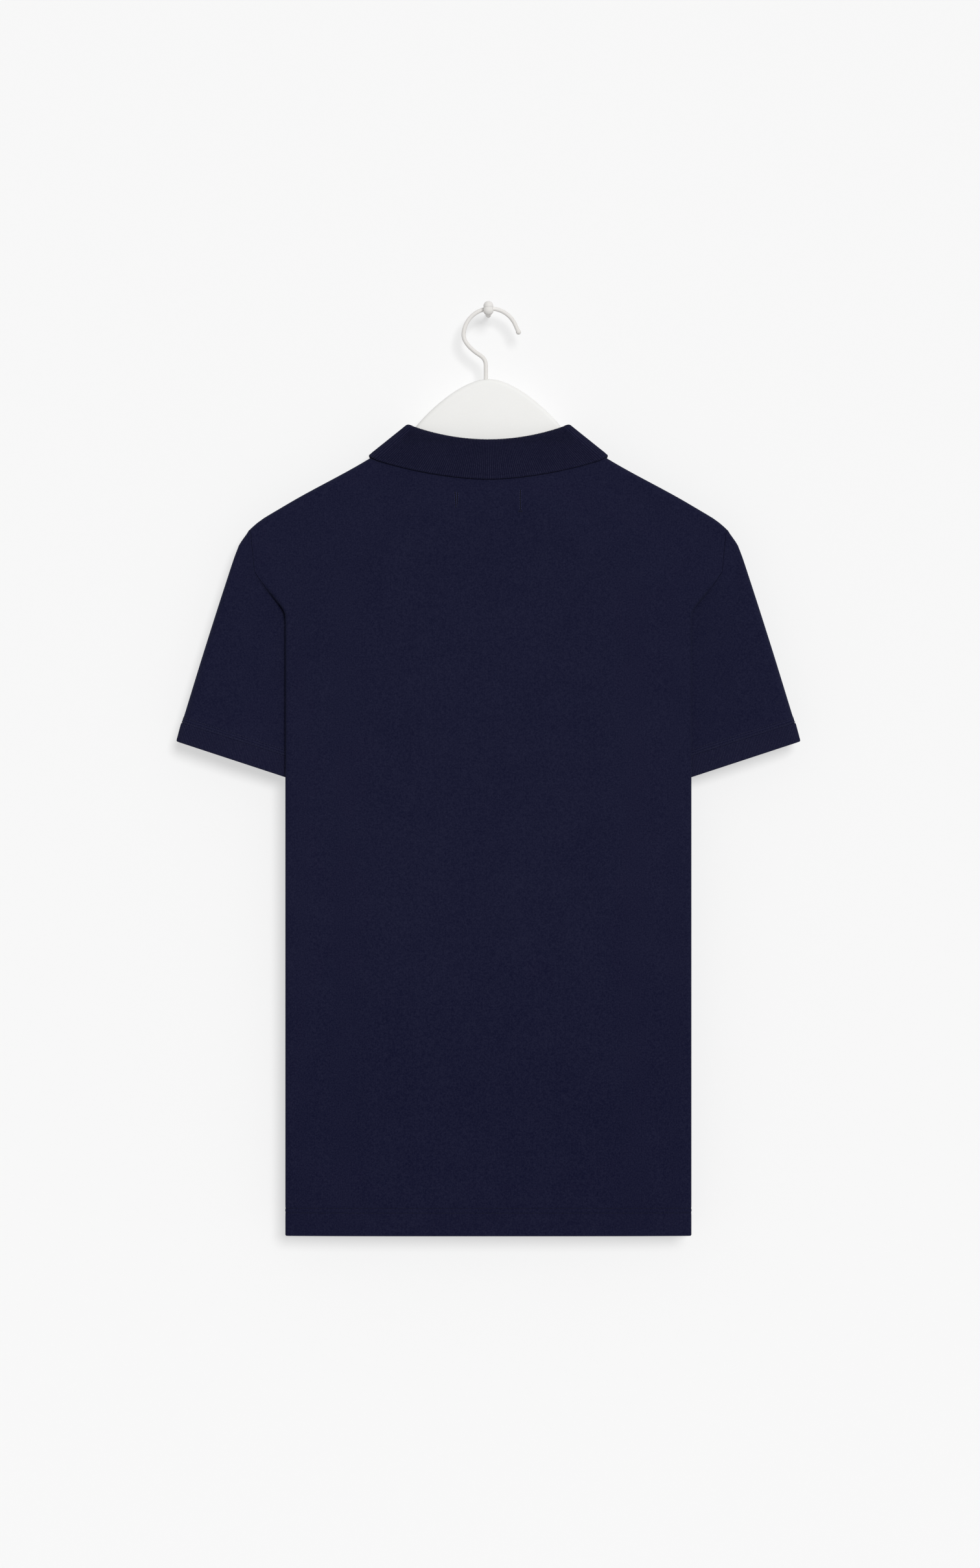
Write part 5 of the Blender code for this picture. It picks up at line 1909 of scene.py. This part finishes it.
def rounded(points: Array, steps: int) -> Array:
    """A smooth curve through points by Catmull-Rom pieces, with steps points in each.

    Args:
        points: Points to pass through.
        steps: Points on each piece.

    Returns:
        The curve, both ends included.
    """
    wide = np.concatenate([past(points[:1], points[1:2]), points,
                           past(points[-1:], points[-2:-1])])
    t = np.linspace(0, 1, steps, endpoint=False)[:, None]
    parts = [0.5 * (2 * b + (c - a) * t + (2 * a - 5 * b + 4 * c - d) * t ** 2
                    + (3 * b - a - 3 * c + d) * t ** 3)
             for a, b, c, d in zip(wide, wide[1:], wide[2:], wide[3:])]
    return np.concatenate(parts + [points[-1:]])


@dataclass
class Hanger:
    """White moulded plate with a full round rim, and a round hook with a ball tip."""

    mid_y: float = -26.0
    half: float = 3.8
    wire: float = 1.9
    hook_centre: tuple[float, float] = (2.0, -18.0)
    hook_radius: float = 25.0
    stem_x: float = -2.3
    socket_radius: float = 2.2
    socket_end_z: float = -72.3
    tip_radius: float = 2.4
    top: tuple[tuple[float, float], ...] = (
        (0, -58.1), (9, -59.3), (19, -63), (31, -69.6), (42, -77.6), (52, -86.2), (60, -94.2),
        (67, -102.2), (74, -112.5), (82, -122.5), (92, -129), (106, -134), (120, -139.9),
        (140, -150.8), (160, -161.7), (180, -173.3), (203, -187.7))
    bottom: tuple[tuple[float, float], ...] = (
        (211.5, -194.8), (215.5, -200), (216, -206), (212.5, -211), (206, -212.6),
        (198, -209.6), (150, -184.5), (105, -163), (60, -153), (25, -149.5), (0, -149))
    lead: tuple[tuple[float, float], ...] = (
        (-2.3, -72), (-2.3, -65), (-2.3, -58), (-2.3, -50), (-2.4, -44.6), (-3.2, -41.4),
        (-4.9, -38.6), (-7.8, -36.2), (-11.6, -33.6), (-15.2, -30.6), (-18.2, -27.6),
        (-20.5, -24.6), (-22.2, -21.4))
    wire_end: tuple[float, float] = (26.9, -12.5)

    def outline(self) -> Array:
        """Closed outline of the plate, smoothed on one half and mirrored."""
        right = rounded(np.array(self.top + self.bottom, float), 4)
        return np.concatenate([right, (right * [-1.0, 1.0])[-2:0:-1]])

    def plate(self) -> tuple[Array, list]:
        """The plate: rings drawn in from the outline by a half circle, and two flat sides.

        Returns:
            Vertices and faces.
        """
        line = self.outline()
        ahead = unit(np.roll(line, -1, axis=0) - line)
        behind = unit(line - np.roll(line, 1, axis=0))
        both = ahead + behind
        inward = unit(np.stack([both[:, 1], -both[:, 0]], axis=1))
        count, rings = len(line), []
        for angle in np.radians(np.linspace(-90, 90, 15)):
            drawn = line + inward * self.half * (1.0 - math.cos(angle))
            y = np.full(count, self.mid_y + self.half * math.sin(angle))
            rings.append(np.stack([drawn[:, 0], y, drawn[:, 1]], axis=1))
        index, far = ring_index(len(rings), count)
        bands = np.stack([index[:-1], index[1:], far[1:], far[:-1]], axis=-1).reshape(-1, 4)
        return np.concatenate(rings), [*bands.tolist(), index[0].tolist(),
                                       index[-1][::-1].tolist()]

    def drilled(self, plate: Piece) -> None:
        """Cut the stem's socket into the plate's top.

        Args:
            plate: The plate's object.
        """
        path = [(self.stem_x, self.mid_y, self.socket_end_z),
                (self.stem_x, self.mid_y, self.top[0][1] + 6.0)]
        drill = make_piece("socket_drill", *swept(np.array(path), np.full(2, self.socket_radius),
                                                  32), plate.data.materials[0])
        combined(plate, drill, "DIFFERENCE", 35.0)

    def hook_path(self) -> tuple[Array, Array]:
        """The hook's line: stem, bend, arc of a circle, and the ball at its tip.

        Returns:
            Centre points, and the wire's radius at each.
        """
        turn = np.radians(np.linspace(180, 21, 60))
        arc = np.stack([self.hook_centre[0] + self.hook_radius * np.cos(turn),
                        self.hook_centre[1] + self.hook_radius * np.sin(turn)], axis=1)
        flat = np.concatenate([rounded(np.array(self.lead + (tuple(arc[0]),)), 5)[:-1], arc,
                               np.array([self.wire_end])])
        heading = unit(flat[-1] - flat[-2])
        angles = np.radians([-34, -18, 0, 18, 36, 54, 70, 82])
        tip = flat[-1] + heading * (self.tip_radius * (1 + np.sin(angles)))[:, None]
        flat = np.concatenate([flat, tip])
        radii = np.concatenate([np.full(len(flat) - len(tip), self.wire),
                                self.tip_radius * np.cos(angles)])
        return np.stack([flat[:, 0], np.full(len(flat), self.mid_y), flat[:, 1]], axis=1), radii

    def build(self, finishes: Finishes) -> None:
        """Make the plate and the hook.

        Args:
            finishes: The part's materials.
        """
        plate = make_piece("hanger_plate", *self.plate(), finishes.plastic, sharp=35.0)
        self.drilled(plate)
        dress(plate, "plastic", "hanger_body")
        dress(make_piece("hanger_wire_hook", *swept(*self.hook_path(), 24), finishes.enamel,
                         sharp=40.0), "enamel", "hanger_hook")


@dataclass
class WallPeg:
    """A small foot on the wall, a shank that comes down under the hook, and an upright end."""

    mid_y: float = -26.0
    foot_radius: float = 2.6
    foot_thick: float = 0.9
    shank_radius: float = 2.2
    shank_z: float = 2.6
    end_y: float = -32.8
    lobe_radius: float = 4.8
    lobe_z: float = 4.6
    ball_radius: float = 4.5
    ball_z: float = 8.7

    def shank(self) -> tuple[Array, Array]:
        """Foot and shank, from the wall outwards; the shank eases down to its height.

        Returns:
            Centre points, and the radius at each.
        """
        thick, shank, foot = self.foot_thick, self.shank_radius, self.foot_radius
        depth = np.array([0.0, -0.15, -thick * 0.7, -thick, -thick - 0.15, -thick - 0.4, -8.0,
                          self.mid_y * 0.5, self.mid_y + 5.0, self.mid_y, self.end_y])
        radii = np.array([foot - 0.12, foot, foot, foot - 0.12, shank + 0.15, shank, shank,
                          shank, shank, shank, shank])
        down = smooth((-depth - thick) / (5.0 - self.mid_y - thick - 8.0))
        height = PEG_Z + (self.shank_z - PEG_Z) * down
        return np.stack([0 * depth, depth, height], axis=1), radii

    def upright(self) -> tuple[Array, Array]:
        """The end: two spheres that meet in a waist, from the lower one up.

        Returns:
            Centre points, and the radius at each.
        """
        apart = self.ball_z - self.lobe_z
        waist = math.acos((self.lobe_radius ** 2 + apart ** 2 - self.ball_radius ** 2)
                          / (2 * self.lobe_radius * apart))
        ring = self.lobe_radius * math.sin(waist)
        lobe = np.linspace(math.radians(172), waist, 20)
        ball = np.linspace(math.pi - math.asin(ring / self.ball_radius), math.radians(6), 24)[1:]
        radii = np.concatenate([self.lobe_radius * np.sin(lobe), self.ball_radius * np.sin(ball)])
        heights = np.concatenate([self.lobe_z + self.lobe_radius * np.cos(lobe),
                                  self.ball_z + self.ball_radius * np.cos(ball)])
        path = np.stack([0 * heights, 0 * heights + self.end_y, heights], axis=1)
        return path, radii

    def build(self, finishes: Finishes) -> None:
        """Make the peg: its end joined to its shank as one solid.

        Args:
            finishes: The part's materials.
        """
        end = make_piece("peg_end", *swept(*self.upright(), 40), finishes.enamel)
        peg = make_piece("wall_peg_turned", *swept(*self.shank(), 32), finishes.enamel)
        combined(peg, end, "UNION", 38.0)
        dress(peg, "enamel", "wall_peg")


# ---- stage, light and camera


@dataclass
class Studio:
    """A pale wall and floor, soft light from the upper right, and the camera, in metres.

    The wall stands wall_gap behind the part.  sun_angle is how wide the sun looks, and sun_turn
    how far it is tipped and turned, in degrees.
    """

    wall_size: float = 6.0
    wall_gap: float = 0.0006
    floor_z: float = -1.6
    camera_place: tuple[float, float, float] = (0.0015, -3.456, -0.4380)
    lens: float = 85.0
    sky: float = 0.31
    sun_power: float = 2.35
    sun_angle: float = 22.0
    sun_turn: tuple[float, float] = (75.0, 13.0)

    def flat(self, name: str, corners: list, material: Material) -> None:
        """Make one plane of the stage from its corners in metres."""
        piece = make_piece(name, np.array(corners) / MM, [(0, 1, 2, 3)], material)

    def build(self, finishes: Finishes) -> None:
        """Make the stage, the sun, the sky and the camera.

        Args:
            finishes: The part's materials.
        """
        far, low, wall = self.wall_size / 2, self.floor_z, self.wall_gap
        self.flat("back_wall", [(far, wall, far), (-far, wall, far), (-far, wall, low),
                                (far, wall, low)], finishes.wall)
        self.flat("floor", [(-far, -far * 2, low), (far, -far * 2, low), (far, far, low),
                            (-far, far, low)], finishes.floor)
        world = bpy.data.worlds.new("pale_room")
        world.use_nodes = True
        sky = world.node_tree.nodes["Background"]
        sky.inputs["Color"].default_value = (1.0, 1.0, 1.0, 1.0)
        sky.inputs["Strength"].default_value = self.sky
        scene = bpy.context.scene
        scene.world = world
        scene.view_settings.view_transform = "Standard"
        sun = bpy.data.lights.new("key", "SUN")
        sun.energy, sun.angle = self.sun_power, math.radians(self.sun_angle)
        key = linked("key", sun)
        tipped, turned_by = np.radians(self.sun_turn)
        key.rotation_euler = (tipped, 0.0, turned_by)
        data = bpy.data.cameras.new("front_view")
        data.lens, data.clip_start, data.clip_end = self.lens, 0.1, 60.0
        camera = linked("front_view", data)
        camera.location = self.camera_place
        camera.rotation_euler = (math.pi / 2, 0.0, 0.0)
        scene.camera = camera


def main() -> None:
    """Load the frame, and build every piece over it."""
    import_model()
    finishes, form = Finishes(), ShirtForm()
    Studio().build(finishes)
    back = BodyPanel(form, Side.BACK).build(finishes)
    front = BodyPanel(form, Side.FRONT).build(finishes)
    SleevePair(form).build(back, front, finishes)
    Collar(form).build(finishes)
    Placket(form).build(finishes)
    LabelTacks(form).build(finishes)
    Hanger().build(finishes)
    WallPeg().build(finishes)


if __name__ == "__main__":
    logging.basicConfig(level=logging.INFO, format="%(name)s: %(message)s")
    main()
